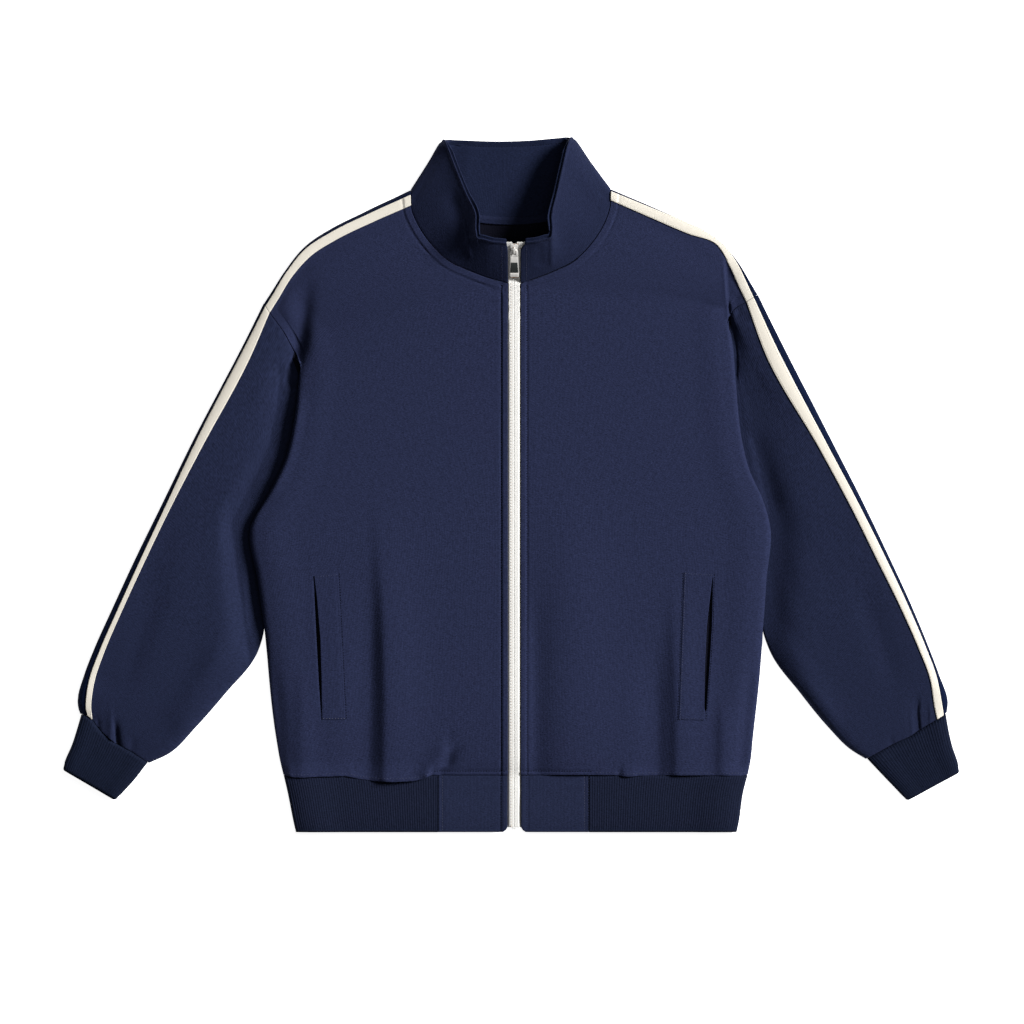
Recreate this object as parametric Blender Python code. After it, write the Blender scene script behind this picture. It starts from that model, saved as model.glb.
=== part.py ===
"""A zipped track jacket lying flat on its back: shell panels, collar, ribs, stripes, welts and zip."""
from math import atan2, cos, hypot, pi, radians, sin, sqrt

import bmesh
import bpy
from mathutils import Matrix, Vector
from mathutils.bvhtree import BVHTree

MM = 0.001

# Cloth and seams, in millimetres like every size below.
BODY_CLOTH = 2.0
SLEEVE_CLOTH = 1.8
COLLAR_CLOTH = 1.5
RIB_CLOTH = 2.2
TAB_CLOTH = 2.4
TAPE_CLOTH = 0.9
STRIPE_CLOTH = 0.8
WELT_CLOTH = 1.2
BAG_CLOTH = 1.0
SEAM_GAP = 0.3
BUTT_GAP = 0.4

# How the layers lie: edge rolls, the body's fold over each sleeve, and the heights beside it.
EDGE_WIDTH = 12.0
SHOULDER_TURN = 6.5
FOLD_UNDER = 7.0
FOLD_LOW = 5.1
TUCK_TOP = 4.5
TUCK_DEPTH = 7.0
ROLL_STEPS = 5
FRONT_MAIN = (0.0, 0.27, 0.5, 0.68, 0.84, 1.0)

# Front rows, hem to shoulder: inner edge, outer edge, heights of the inner edge, of the top of the
# outer roll and of its widest point, degrees the roll turns, and share of the shoulder's bow.
FRONT_COLUMNS = ("in_x", "in_y", "out_x", "out_y", "z_in", "z_edge", "z_turn", "turn", "bow")
FRONT_ROWS = {
    "left": (
        (-4.1, -334.0, -262.2, -334.0, 9.8, 9.8, 4.9, 90, 0.0),
        (-4.1, -318.0, -266.0, -318.0, 13.0, 10.5, 5.0, 90, 0.0),
        (-4.1, -293.8, -270.2, -293.8, 16.0, 12.0, 5.6, 90, 0.0),
        (-4.1, -178.8, -282.5, -178.8, 19.0, 14.5, 8.0, 115, 0.0),
        (-4.1, -145.0, -287.0, -143.0, 19.5, 15.0, 8.8, 150, 0.0),
        (-4.1, -112.1, -292.0, -108.7, 20.0, 15.5, 9.2, 176, 0.0),
        (-4.1, -52.3, -299.6, -47.7, 20.0, 16.0, 9.4, 178, 0.0),
        (-4.1, -6.3, -282.5, -16.7, 20.0, 16.0, 9.4, 178, 0.0),
        (-4.1, 39.7, -259.6, 30.5, 20.0, 16.0, 9.4, 178, 0.0),
        (-4.1, 85.7, -249.8, 74.2, 20.0, 16.0, 9.4, 178, 0.0),
        (-4.1, 137.4, -244.3, 120.2, 20.0, 15.0, 9.2, 170, 0.0),
        (-4.1, 183.4, -246.5, 146.6, 20.0, 13.0, 9.6, 70, 0.02),
        (-4.1, 230.6, -254.4, 162.7, 20.0, 10.5, 10.0, 0, 0.06),
        (-31.3, 238.6, -260.0, 173.0, 20.0, 11.0, 11.0, 0, 0.15),
        (-50.0, 246.0, -264.0, 179.0, 20.0, 11.5, 11.5, 0, 0.25),
        (-69.3, 254.7, -267.5, 184.0, 19.5, 12.0, 12.0, 0, 0.38),
        (-95.0, 279.0, -271.0, 188.5, 18.0, 12.5, 12.5, 0, 0.6),
        (-109.0, 301.0, -273.5, 192.0, 16.0, 12.5, 12.5, 0, 0.8),
    ),
    "right": (
        (10.9, -334.0, 272.3, -334.0, 9.8, 9.8, 4.9, 90, 0.0),
        (10.9, -318.0, 275.5, -318.0, 13.0, 10.5, 5.0, 90, 0.0),
        (10.9, -293.8, 278.0, -293.8, 16.0, 12.0, 5.6, 90, 0.0),
        (10.9, -178.8, 288.9, -178.8, 19.0, 14.5, 8.0, 115, 0.0),
        (10.9, -145.0, 291.4, -143.0, 19.5, 15.0, 8.8, 150, 0.0),
        (10.9, -112.1, 293.7, -109.8, 20.0, 15.5, 9.2, 176, 0.0),
        (10.9, -52.3, 297.9, -47.7, 20.0, 16.0, 9.4, 178, 0.0),
        (10.9, -6.3, 289.5, -18.0, 20.0, 16.0, 9.4, 178, 0.0),
        (10.9, 39.7, 273.4, 18.4, 20.0, 16.0, 9.4, 178, 0.0),
        (10.9, 85.7, 265.4, 51.2, 20.0, 16.0, 9.4, 178, 0.0),
        (10.9, 137.4, 258.5, 114.4, 20.0, 16.0, 9.4, 178, 0.0),
        (10.9, 183.4, 253.5, 169.6, 20.0, 15.0, 9.2, 170, 0.02),
        (10.9, 230.6, 251.5, 194.0, 20.0, 13.0, 9.6, 70, 0.06),
        (40.0, 240.9, 255.0, 200.0, 20.0, 11.0, 11.0, 0, 0.15),
        (53.0, 246.5, 258.0, 203.0, 20.0, 11.5, 11.5, 0, 0.25),
        (66.4, 252.9, 261.0, 205.2, 19.5, 12.0, 12.0, 0, 0.38),
        (95.0, 280.0, 264.0, 206.9, 18.0, 12.5, 12.5, 0, 0.6),
        (107.5, 300.5, 266.0, 208.0, 16.0, 12.5, 12.5, 0, 0.8),
    ),
}
ARMPIT_ROW = 6
ARMPIT_DEPTHS = {6: 2.4, 7: 1.3}
FOLD_END_ROW = {"left": 11, "right": 12}
FOLD_END_HEIGHT = 7.0
NECK_ROWS = 6

# Shoulder outlines from the neck to the top of the armhole, x and y.
SHOULDER_COLUMNS = ("x", "y")
SHOULDERS = {
    "left": ((-115.9, 338.7), (-129.1, 330.6), (-169.3, 313.4), (-206.1, 295.0), (-230.3, 281.2),
             (-248.2, 262.8), (-261.3, 244.4), (-271.2, 228.7), (-284.3, 208.7)),
    "right": ((114.7, 339.8), (123.9, 335.2), (157.0, 321.5), (191.8, 306.7), (221.2, 292.9),
              (243.3, 278.3), (261.6, 255.3), (272.3, 237.5), (283.5, 218.6)),
}

# Where the stripe's two edges lie along each shoulder: share of the way from the neck to the
# armhole, and distances in from the outline.
STRIPE_COLUMNS = ("share", "near", "far")
SHOULDER_STRIPES = {
    "left": ((0.0, 5.4, 15.8), (0.27, 4.6, 15.0), (0.46, 4.4, 14.5), (0.6, 3.9, 14.4), (0.7, 2.4, 11.5),
             (0.81, 3.2, 11.0), (1.0, 4.0, 11.8)),
    "right": ((0.0, 3.0, 12.0), (0.2, 2.4, 12.5), (0.4, 0.9, 12.5), (0.54, 0.8, 11.5), (0.62, 0.9, 6.2),
              (0.7, 1.2, 6.5), (0.77, 1.5, 10.2), (0.88, 3.5, 13.5), (1.0, 6.0, 15.5)),
}
SEAM_HEADINGS = {"left": ((0.04, -1.0), (0.52, -0.85)), "right": ((-0.03, -1.0), (-0.845, -0.535))}

# Rows beside the shoulder: parts of the stripe's near and far distances and a length; the rows under it.
SHOULDER_STEPS = ((0.0, 1.0, 3.0), (0.0, 1.0, 0.0), (0.5, 0.5, 0.0), (1.0, 0.0, 0.0), (0.4, 0.0, 0.0),
                  (0.0, 0.0, 0.0))
STRIPE_STEPS = (1, 2, 3)
SHOULDER_HIGH = 14.0
SHOULDER_FALL = 1.5
HEADING_SPAN = 0.03
SEAM_TURN = 0.1

# Back rows below the armpit: how far inside the fronts' outline the back's edge lies, and its height.
BACK_EDGE_COLUMNS = ("inset", "height")
BACK_EDGES = ((0.0, 4.6), (0.0, 4.7), (0.0, 5.3), (1.5, 6.2), (4.8, 5.0), (7.0, 4.5))
BACK_OFFSETS = (0.0, 3.0, 12.0)
BACK_MAIN = (0.11, 0.21, 0.3, 0.32, 0.4, 0.5, 0.6, 0.68, 0.7, 0.79, 0.89)
NECK_START = 0.3
NECKLINE = ((-115.9, 338.7), (-112.0, 333.0), (-98.0, 320.0), (-59.0, 306.5), (-0.3, 299.6),
            (56.5, 306.5), (97.0, 321.0), (111.5, 334.0), (114.7, 339.8))

# Sleeve rows below the armhole: outer edge, inner edge, height, turn height outside and inside,
# height beside the inner edge, how far in from it the sleeve reaches its full height, and the
# distances of the stripe's two edges from the outer edge.
SLEEVE_COLUMNS = ("out_x", "out_y", "in_x", "in_y", "high", "turn_out", "turn_in", "z_in", "rise",
                  "near", "far")
SLEEVE_ROWS = {
    "left": (
        (-305.0, 167.3, -293.6, -60.0, 12.5, 6.5, 2.25, 4.5, 60, 1.8, 9.7),
        (-366.3, 50.0, -287.8, -105.2, 13.5, 6.5, 2.3, 4.6, 60, 3.4, 10.8),
        (-403.9, -27.0, -284.9, -137.4, 14.0, 6.5, 2.6, 5.2, 55, 5.0, 10.2),
        (-431.5, -83.4, -284.4, -167.3, 14.5, 6.5, 3.6, 7.2, 45, 6.2, 11.2),
        (-459.1, -143.2, -292.5, -194.3, 14.5, 6.5, 5.5, 11.0, 30, 6.6, 11.6),
        (-479.8, -189.2, -329.2, -240.9, 14.5, 6.5, 6.5, 13.0, 20, 7.1, 12.6),
        (-491.3, -219.1, -362.5, -278.9, 14.0, 6.5, 6.5, 13.0, 20, 7.6, 13.8),
        (-498.8, -247.8, -392.4, -308.8, 12.5, 6.0, 6.0, 12.0, 20, 9.2, 14.9),
        (-497.1, -266.8, -416.6, -320.3, 10.8, 5.3, 5.3, 10.4, 20, 7.4, 12.6),
    ),
    "right": (
        (304.5, 176.5, 292.4, -60.0, 12.5, 6.5, 2.25, 4.5, 60, 5.0, 15.8),
        (367.7, 52.3, 288.2, -105.2, 13.5, 6.5, 2.3, 4.6, 60, 6.0, 13.9),
        (405.7, -22.4, 288.0, -137.4, 14.0, 6.5, 2.6, 5.2, 55, 5.4, 13.9),
        (432.1, -77.6, 288.9, -165.0, 14.5, 6.5, 3.6, 7.2, 45, 4.8, 14.1),
        (459.7, -137.4, 298.0, -192.5, 14.5, 6.5, 5.5, 11.0, 30, 4.5, 13.0),
        (479.3, -184.6, 332.1, -239.5, 14.5, 6.5, 6.5, 13.0, 20, 4.0, 11.8),
        (491.9, -217.9, 365.4, -280.0, 14.0, 6.5, 6.5, 13.0, 20, 4.2, 11.8),
        (502.3, -251.3, 389.6, -304.2, 12.5, 6.0, 6.0, 12.0, 20, 6.8, 14.6),
        (501.1, -263.9, 408.0, -315.7, 10.8, 5.3, 5.3, 10.4, 20, 4.0, 10.8),
    ),
}
ARMHOLE_HEIGHTS = {"high": 12.5, "turn_out": 6.5, "turn_in": 2.25, "rise": 60.0}
SKIPPED_STATIONS = (14, 16)
SLEEVE_BOW = (1.0, 0.8, 0.35, 0.15, 0.05, 0.0, 0.0, 0.0, 0.0, 0.0)
SLEEVE_BLEND = (1.0, 0.3, 0.0, 0.0, 0.0, 0.0, 0.0, 0.0, 0.0, 0.0)
FOLD_RISE = 42.0
INNER_CURL = 3.0
INNER_STEPS = (1.0, 0.55, 0.18, 0.0)
CURL_SPREAD = 1.6

# Cuff rows, sleeve seam to opening.
CUFF_COLUMNS = ("out_x", "out_y", "in_x", "in_y", "high")
CUFF_ROWS = {
    "left": ((-496.1, -267.9, -418.0, -319.8, 10.2), (-504.6, -297.5, -433.8, -339.8, 10.4),
             (-512.8, -317.0, -447.5, -354.5, 10.4), (-515.1, -325.2, -453.6, -361.2, 9.6)),
    "right": ((500.0, -265.0, 409.5, -315.4, 10.2), (506.9, -299.6, 429.8, -336.4, 10.4),
              (513.2, -319.0, 446.0, -353.0, 10.4), (515.1, -328.2, 453.6, -361.6, 9.6)),
}
CUFF_OFFSETS = (0.0, 0.7, 2.4, 6.0)
CUFF_MAIN = (0.3, 0.5, 0.7)

# Hem rows, seam to lower edge: the body's width there and the band's height.
HEM_COLUMNS = ("left_x", "right_x", "y", "high")
HEM_ROWS = ((-261.9, 272.0, -334.4, 9.8), (-258.0, 267.6, -351.0, 10.4), (-249.2, 260.8, -394.0, 10.4),
            (-247.8, 259.4, -399.8, 9.6))
HEM_OFFSETS = (0.0, 0.7, 2.4, 6.0)
HEM_FRONT = (0.0, 0.33, 0.67)
HEM_BACK = (0.1, 0.25, 0.4, 0.6, 0.75, 0.9)
TAB_ENDS = {"left": (-84.2, -4.3), "right": (11.2, 89.4)}
TAB_STEPS = (0.0, 0.5, 1.0)

# Collar top edge at each station of the neck seam, from the zip to the middle of the back.
COLLAR_COLUMNS = ("x", "y", "z")
COLLAR_TOPS = {
    "left": ((-4.1, 276.6, 48.0), (-30.0, 281.2, 49.0), (-38.4, 288.5, 48.5), (-40.5, 310.0, 46.0),
             (-50.9, 333.0, 41.0), (-63.5, 364.0, 34.0), (-69.5, 379.0, 29.0), (-73.5, 388.0, 24.0),
             (-76.0, 393.0, 19.5), (-77.5, 395.5, 16.0), (-78.3, 396.7, 13.0), (-78.6, 396.9, 10.0),
             (-75.5, 395.9, 4.5), (-41.0, 393.3, 0.0), (-3.7, 392.7, 0.0)),
    "right": ((10.9, 277.2, 48.0), (36.5, 281.3, 49.0), (44.8, 288.3, 48.5), (45.8, 308.5, 46.0),
              (51.5, 333.0, 41.0), (58.4, 364.0, 34.0), (62.2, 380.0, 29.0), (65.2, 390.0, 24.0),
              (67.3, 395.5, 19.5), (68.8, 398.2, 16.0), (69.7, 399.5, 13.0), (70.0, 399.8, 10.0),
              (67.5, 398.9, 4.5), (35.0, 394.8, 0.0), (-3.7, 392.7, 0.0)),
}
COLLAR_RISE = (0.0, 0.5, 1.0)
COLLAR_GAP = 0.5
COLLAR_EDGE_START = (230.9, 20.0)

# Pocket slits: outer edge and welt's edge from the top down, and the welt's corners at slit and seam.
POCKETS = {
    "left": {
        "slit_out": ((-226.6, -108.0), (-226.2, -128.0), (-223.8, -178.8), (-221.2, -225.0),
                     (-218.6, -264.0)),
        "slit_in": ((-225.9, -108.0), (-223.6, -128.0), (-219.4, -178.8), (-218.1, -225.0),
                    (-217.9, -264.0)),
        "top": ((-226.5, -105.0), (-199.0, -101.8)),
        "bottom": ((-217.4, -270.2), (-190.7, -270.2)),
    },
    "right": {
        "slit_out": ((231.2, -107.0), (230.9, -128.0), (230.2, -161.6), (227.0, -215.0), (223.6, -264.0)),
        "slit_in": ((230.4, -107.0), (228.6, -128.0), (224.8, -161.6), (222.2, -215.0), (222.0, -264.0)),
        "top": ((231.5, -102.5), (198.7, -100.6)),
        "bottom": ((221.8, -270.8), (192.6, -270.0)),
    },
}
WELT_ROWS = (0.0, 0.2, 0.4, 0.6, 0.8, 1.0)
WELT_COLUMNS = (0.0, 0.5, 1.0)
CUT_DEPTH = 8.0
BAG_WIDTH = 120.0
BAG_LENGTH = 185.0
BAG_BEHIND = 8.0
BAG_ABOVE = 12.0
BAG_DROP = 0.5

# Zip tapes: where they meet, how far they reach under the fronts, and where they run up the collar.
ZIP_X = 3.4
TAPE_REACH = 16.5
COLLAR_TAPE_REACH = 8.6
COLLAR_TAPE_DROP = 0.75
NECK_SEAM_Y = 231.0
COLLAR_TAPE_YS = (234.0, 250.0, 262.0, 270.5, 273.5, 277.0)
TAPE_SPLIT = 0.2
OPEN_SPREAD = 1.9
OPEN_FROM_Y = 272.1

# Slider in the slope's own frame: across, up the slope, out from the tapes.
SLIDER_Y = 269.1
SLIDER_LENGTH = 13.6
SLIDER_TOP_WIDTH = 9.4
SLIDER_LOW_WIDTH = 7.2
SLIDER_CORNER = 1.4
UNDER_LESS_LENGTH = 1.0
UNDER_LESS_WIDTH = 0.6
UNDER_BACK = 0.3
PLATE = 1.1
PLATE_GAP = 0.3
POST_WIDTH = 2.4
POST_LENGTH = 2.2
POST_INSET = 0.6
BRIDGE_WIDTH = 2.2
BRIDGE_REACH = 3.7
BRIDGE_THICK = 1.0
BRIDGE_LOW = 3.6

# Pull tab, hung from its upper end on the bridge.
HINGE_HEIGHT = 2.5
PULL_LENGTH = 36.0
PULL_TOP_WIDTH = 8.8
PULL_LOW_WIDTH = 11.4
PULL_THICK = 1.5
PULL_CORNER = 1.8
HINGE_BAR = 1.3
WINDOW_WIDTH = 3.6
WINDOW_LENGTH = 5.2
INLAY_TOP = 13.0
INLAY_LENGTH = 11.0
INLAY_WIDTH = 7.6
INLAY_DEPTH = 0.35

# Colours, and each material's roughness.
NAVY = (0.026, 0.031, 0.075)
RIB_NAVY = (0.012, 0.015, 0.031)
CREAM = (0.80, 0.76, 0.68)
METAL = (0.72, 0.70, 0.67)
KNIT_ROUGH = 0.85
RIB_ROUGH = 0.9
TAPE_ROUGH = 0.7
METAL_ROUGH = 0.3
SHARP_FROM = 50
ABOVE_ALL = 100.0


def named_rows(columns, rows):
    """Table rows as dictionaries, one entry for each named column."""
    return [dict(zip(columns, row)) for row in rows]


def mix(start, end, share):
    return tuple(a + (b - a) * share for a, b in zip(start, end))


def smooth_step(value):
    value = min(1.0, max(0.0, value))
    return value * value * (3 - 2 * value)


def round_over(distance, width=EDGE_WIDTH):
    """Share of the full height reached this far in from a rounded edge."""
    inside = 1 - min(1.0, max(0.0, distance / width))
    return sqrt(1 - inside * inside)


def path_lengths(points):
    """Running length along a plan path."""
    lengths = [0.0]
    for start, end in zip(points, points[1:]):
        lengths.append(lengths[-1] + hypot(end[0] - start[0], end[1] - start[1]))
    return lengths


def share_at(points, index):
    """How far along a path one of its points lies, as a share."""
    lengths = path_lengths(points)
    return lengths[index] / lengths[-1]


def along(points, share):
    """The point that lies this share of the way along a path."""
    lengths = path_lengths(points)
    target = share * lengths[-1]
    for index in range(1, len(points)):
        if target <= lengths[index] or index == len(points) - 1:
            step = lengths[index] - lengths[index - 1]
            return mix(points[index - 1], points[index], (target - lengths[index - 1]) / step)


def distance_to(point, path):
    """Plan distance from a point to a path."""
    best = float("inf")
    for start, end in zip(path, path[1:]):
        dx, dy = end[0] - start[0], end[1] - start[1]
        share = ((point[0] - start[0]) * dx + (point[1] - start[1]) * dy) / (dx * dx + dy * dy)
        share = min(1.0, max(0.0, share))
        best = min(best, hypot(point[0] - start[0] - share * dx, point[1] - start[1] - share * dy))
    return best


def heading_in(side, share):
    """Plan direction in from a shoulder's outline and its tilt from square, at a share of the way."""
    shoulder = SHOULDERS[side]
    start = along(shoulder, max(0.0, share - HEADING_SPAN))
    end = along(shoulder, min(1.0, share + HEADING_SPAN))
    dx, dy = end[0] - start[0], end[1] - start[1]
    length = hypot(dx, dy)
    square = (dy / length, -dx / length) if dx > 0 else (-dy / length, dx / length)
    neck, arm = SEAM_HEADINGS[side]
    heading = square
    if share < SEAM_TURN:
        heading = mix(neck, square, share / SEAM_TURN)
    if share > 1 - SEAM_TURN:
        heading = mix(square, arm, (share - 1 + SEAM_TURN) / SEAM_TURN)
    return heading, heading[0] * square[0] + heading[1] * square[1]


def stripe_edges(side, share):
    """Distances of the stripe's two edges from a shoulder's outline."""
    rows = SHOULDER_STRIPES[side]
    for before, after in zip(rows, rows[1:]):
        if share <= after[0]:
            near, far = mix(before[1:], after[1:], (share - before[0]) / (after[0] - before[0]))
            return near, far


def grid_normals(grid, closed):
    """Unit normals of a grid of points, its columns closed into a ring or not."""
    normals = []
    for i, row in enumerate(grid):
        normals.append([])
        for j in range(len(row)):
            if closed:
                left, right = row[j - 1], row[(j + 1) % len(row)]
            else:
                left, right = row[max(0, j - 1)], row[min(len(row) - 1, j + 1)]
            below, above = grid[max(0, i - 1)][j], grid[min(len(grid) - 1, i + 1)][j]
            across = Vector(right) - Vector(left)
            up = Vector(above) - Vector(below)
            normals[-1].append(across.cross(up).normalized())
    return normals


def offset_grid(grid, distance, closed=False):
    """The grid moved along its normals by a distance, or by one distance for each row."""
    normals = grid_normals(grid, closed)
    return [[tuple(Vector(p) + n * distance) for p, n in zip(row, line)]
            for row, line in zip(grid, normals)]


def skin(name, near, far, material, closed=False):
    """One closed solid between two grids of points, open all round or closed into a ring."""
    mesh = bmesh.new()
    near_points = [[mesh.verts.new(Vector(p) * MM) for p in row] for row in near]
    far_points = [[mesh.verts.new(Vector(p) * MM) for p in row] for row in far]
    rows, columns = len(near), len(near[0])
    spans = columns if closed else columns - 1
    quads = []
    for i in range(rows - 1):
        for j in range(spans):
            k = (j + 1) % columns
            for points in (near_points, far_points):
                quads.append((points[i][j], points[i][k], points[i + 1][k], points[i + 1][j]))
    for j in range(spans):
        k = (j + 1) % columns
        for i in (0, -1):
            quads.append((near_points[i][j], near_points[i][k], far_points[i][k], far_points[i][j]))
    if not closed:
        for i in range(rows - 1):
            for j in (0, -1):
                quads.append((near_points[i][j], near_points[i + 1][j], far_points[i + 1][j],
                              far_points[i][j]))
    for first, second, third, fourth in quads:
        mesh.faces.new((first, second, third))
        mesh.faces.new((first, third, fourth))
    bmesh.ops.recalc_face_normals(mesh, faces=mesh.faces)
    data = bpy.data.meshes.new(name)
    mesh.to_mesh(data)
    mesh.free()
    data.shade_smooth()
    data.set_sharp_from_angle(angle=radians(SHARP_FROM))
    data.materials.append(material)
    piece = bpy.data.objects.new(name, data)
    bpy.context.scene.collection.objects.link(piece)
    return piece


def cloth(name, colour, roughness, metallic=0.0):
    material = bpy.data.materials.new(name)
    material.use_nodes = True
    surface = material.node_tree.nodes["Principled BSDF"]
    surface.inputs["Base Color"].default_value = (*colour, 1.0)
    surface.inputs["Roughness"].default_value = roughness
    surface.inputs["Metallic"].default_value = metallic
    return material


# ---- body ----

def roll_profile(row, step):
    """Distance in from the outline and height, at one step of a row's edge roll."""
    share = step / ROLL_STEPS
    angle = radians(row["turn"]) * share
    if angle <= pi / 2:
        inward = EDGE_WIDTH * (1 - sin(angle))
        height = row["z_turn"] + (row["z_edge"] - row["z_turn"]) * cos(angle)
    else:
        inward = FOLD_UNDER * (1 - sin(angle))
        height = row["z_turn"] + (row["z_turn"] - FOLD_LOW) * cos(angle)
    rolled = min(1.0, row["turn"] / 90)
    flat_inward = EDGE_WIDTH * (1 - share)
    return mix((flat_inward, row["z_edge"]), (inward, height), rolled)


def front_rows(side):
    return named_rows(FRONT_COLUMNS, FRONT_ROWS[side])


def row_shares(width):
    """Shares along a front row for its main columns and the columns of its outer roll."""
    main = [share * (1 - EDGE_WIDTH / width) for share in FRONT_MAIN]
    return main + [1 - EDGE_WIDTH / width * (1 - step / ROLL_STEPS) for step in range(1, ROLL_STEPS + 1)]


def front_grid(side):
    """Outer surface of a front: rows from hem to shoulder, columns from the zip to the outer roll."""
    shoulder = SHOULDERS[side]
    grid = []
    for row in front_rows(side):
        inner, outer = (row["in_x"], row["in_y"]), (row["out_x"], row["out_y"])
        width = hypot(outer[0] - inner[0], outer[1] - inner[1])
        profile = [(share * (width - EDGE_WIDTH), None) for share in FRONT_MAIN]
        profile += [(width - inward, height) for inward, height in
                    (roll_profile(row, step) for step in range(1, ROLL_STEPS + 1))]
        line = []
        for distance, height in profile:
            share = distance / width
            straight = mix(inner, outer, share)
            chord = mix(shoulder[0], shoulder[-1], share)
            bend = along(shoulder, min(1.0, share))
            x = straight[0] + (bend[0] - chord[0]) * row["bow"]
            y = straight[1] + (bend[1] - chord[1]) * row["bow"]
            if height is None:
                height = row["z_edge"] + (row["z_in"] - row["z_edge"]) * (1 - share * share)
            fall = round_over(distance_to((x, y), shoulder))
            line.append((x, y, SHOULDER_TURN + (height - SHOULDER_TURN) * fall))
        grid.append(line)
    width = path_lengths(shoulder)[-1]
    for near_part, far_part, extra in SHOULDER_STEPS:
        line = []
        for share in row_shares(width):
            near, far = stripe_edges(side, share)
            distance = near * near_part + far * far_part + extra
            base = along(shoulder, share)
            heading, squareness = heading_in(side, share)
            reach = distance / squareness
            high = SHOULDER_HIGH - SHOULDER_FALL * share
            fall = round_over(distance)
            line.append((base[0] + heading[0] * reach, base[1] + heading[1] * reach,
                         SHOULDER_TURN + (high - SHOULDER_TURN) * fall))
        grid.append(line)
    return grid


def armhole_points(side, grid):
    """Armhole seam from the shoulder to the armpit: x, y, the sleeve's height, and how deep it tucks."""
    points = []
    for index in range(len(grid) - 1, ARMPIT_ROW - 1, -1):
        if index in SKIPPED_STATIONS:
            continue
        if index >= len(FRONT_ROWS[side]):
            points.append((*grid[index][-1], 0.0))
            continue
        row = front_rows(side)[index]
        if index > FOLD_END_ROW[side]:
            points.append((row["out_x"], row["out_y"], grid[index][-1][2], 0.0))
        elif index == FOLD_END_ROW[side]:
            points.append((row["out_x"], row["out_y"], FOLD_END_HEIGHT, 0.0))
        else:
            points.append((row["out_x"], row["out_y"], TUCK_TOP, ARMPIT_DEPTHS.get(index, 1.0)))
    return points


def seam_moved(points, middle, folded_depth, open_depth):
    """The armhole seam moved towards the middle: by one depth where folded, by another elsewhere."""
    moved = []
    for index, (x, y, z, folded) in enumerate(points):
        before, after = points[max(0, index - 1)], points[min(len(points) - 1, index + 1)]
        dx, dy = after[0] - before[0], after[1] - before[1]
        length = hypot(dx, dy)
        nx, ny = -dy / length, dx / length
        if nx * middle < 0:
            nx, ny = -nx, -ny
        depth = folded_depth * folded if folded else open_depth
        moved.append((x + nx * depth, y + ny * depth, z))
    return moved


def inner_side(outer, thickness, probe, upward=False, closed=False, level=()):
    """A surface moved in by the cloth's thickness, level with the outer one at the listed points."""
    row, column = probe
    faces_up = grid_normals(outer, closed)[row][column].z > 0
    sign = 1 if faces_up == upward else -1
    inner = offset_grid(outer, sign * thickness, closed)
    for i, j in level:
        outside, inside = Vector(outer[i][j]), Vector(inner[i][j])
        sideways = Vector((inside.x - outside.x, inside.y - outside.y, 0.0)).normalized()
        inner[i][j] = tuple(outside + sideways * thickness)
    return inner


def layer_on(name, grid, clearance, thickness, material):
    """Cloth lying on a panel: the panel's own points, moved out."""
    sign = 1 if grid_normals(grid, False)[len(grid) // 2][len(grid[0]) // 2].z > 0 else -1
    near = offset_grid(grid, sign * clearance)
    far = offset_grid(grid, sign * (clearance + thickness))
    return skin(name, near, far, material)


def back_top(share):
    """The back's top boundary: shoulder, neckline, shoulder."""
    if share <= NECK_START:
        return along(SHOULDERS["left"][::-1], share / NECK_START)
    if share < 1 - NECK_START:
        return along(NECKLINE, (share - NECK_START) / (1 - 2 * NECK_START))
    return along(SHOULDERS["right"], (share - 1 + NECK_START) / NECK_START)


def back_grid(fronts):
    """Outer surface of the back: rows from hem to shoulder, columns from left to right."""
    ends = {}
    for side, middle in (("left", 1), ("right", -1)):
        rows = front_rows(side)
        side_points = []
        for row, edge in zip(rows, named_rows(BACK_EDGE_COLUMNS, BACK_EDGES)):
            side_points.append((row["out_x"] + middle * edge["inset"], row["out_y"], edge["height"]))
        arm = seam_moved(armhole_points(side, fronts[side]), middle, TUCK_DEPTH - SEAM_GAP, 0.0)
        side_points += [(x, y, 0.0) for x, y, _ in arm[::-1]]
        ends[side] = side_points
    count = len(ends["left"])
    grid = []
    for index in range(count):
        left, right = ends["left"][index], ends["right"][index]
        width = hypot(right[0] - left[0], right[1] - left[1])
        shares = [offset / width for offset in BACK_OFFSETS] + list(BACK_MAIN)
        shares += [1 - offset / width for offset in BACK_OFFSETS[::-1]]
        bow = min(1.0, max(0.0, (index - ARMPIT_ROW) / (count - 1 - ARMPIT_ROW)))
        line = []
        for share in shares:
            straight = mix(left, right, share)
            chord = mix(back_top(0.0), back_top(1.0), share)
            bend = back_top(share)
            x = straight[0] + (bend[0] - chord[0]) * bow
            y = straight[1] + (bend[1] - chord[1]) * bow
            edge = straight[2] if share in (0.0, 1.0) else (left[2] if share < 0.5 else right[2])
            side_rise = edge * (1 - round_over(min(share, 1 - share) * width))
            shoulder_gap = min(distance_to((x, y), SHOULDERS[side]) for side in SHOULDERS)
            top_rise = (SHOULDER_TURN - SEAM_GAP) * (1 - round_over(shoulder_gap))
            line.append((x, y, max(side_rise, top_rise)))
        grid.append(line)
    return grid


# ---- sleeves and cuffs ----

def beside_body(side, x, y, high):
    """Height of a sleeve beside and under the body's folded edge: low there, rising away from it."""
    edge = [(row["out_x"], row["out_y"]) for row in front_rows(side)[2:FOLD_END_ROW[side] + 1]]
    if y < edge[0][1]:
        edge_x = edge[0][0]
    else:
        edge_x = edge[-1][0]
    for start, end in zip(edge, edge[1:]):
        if start[1] <= y <= end[1]:
            edge_x = mix(start, end, (y - start[1]) / (end[1] - start[1]))[0]
    under = abs(x) < abs(edge_x) and edge[0][1] <= y <= edge[-1][1]
    away = 0.0 if under else distance_to((x, y), edge)
    return TUCK_TOP + (high - TUCK_TOP) * smooth_step(away / FOLD_RISE)


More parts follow.
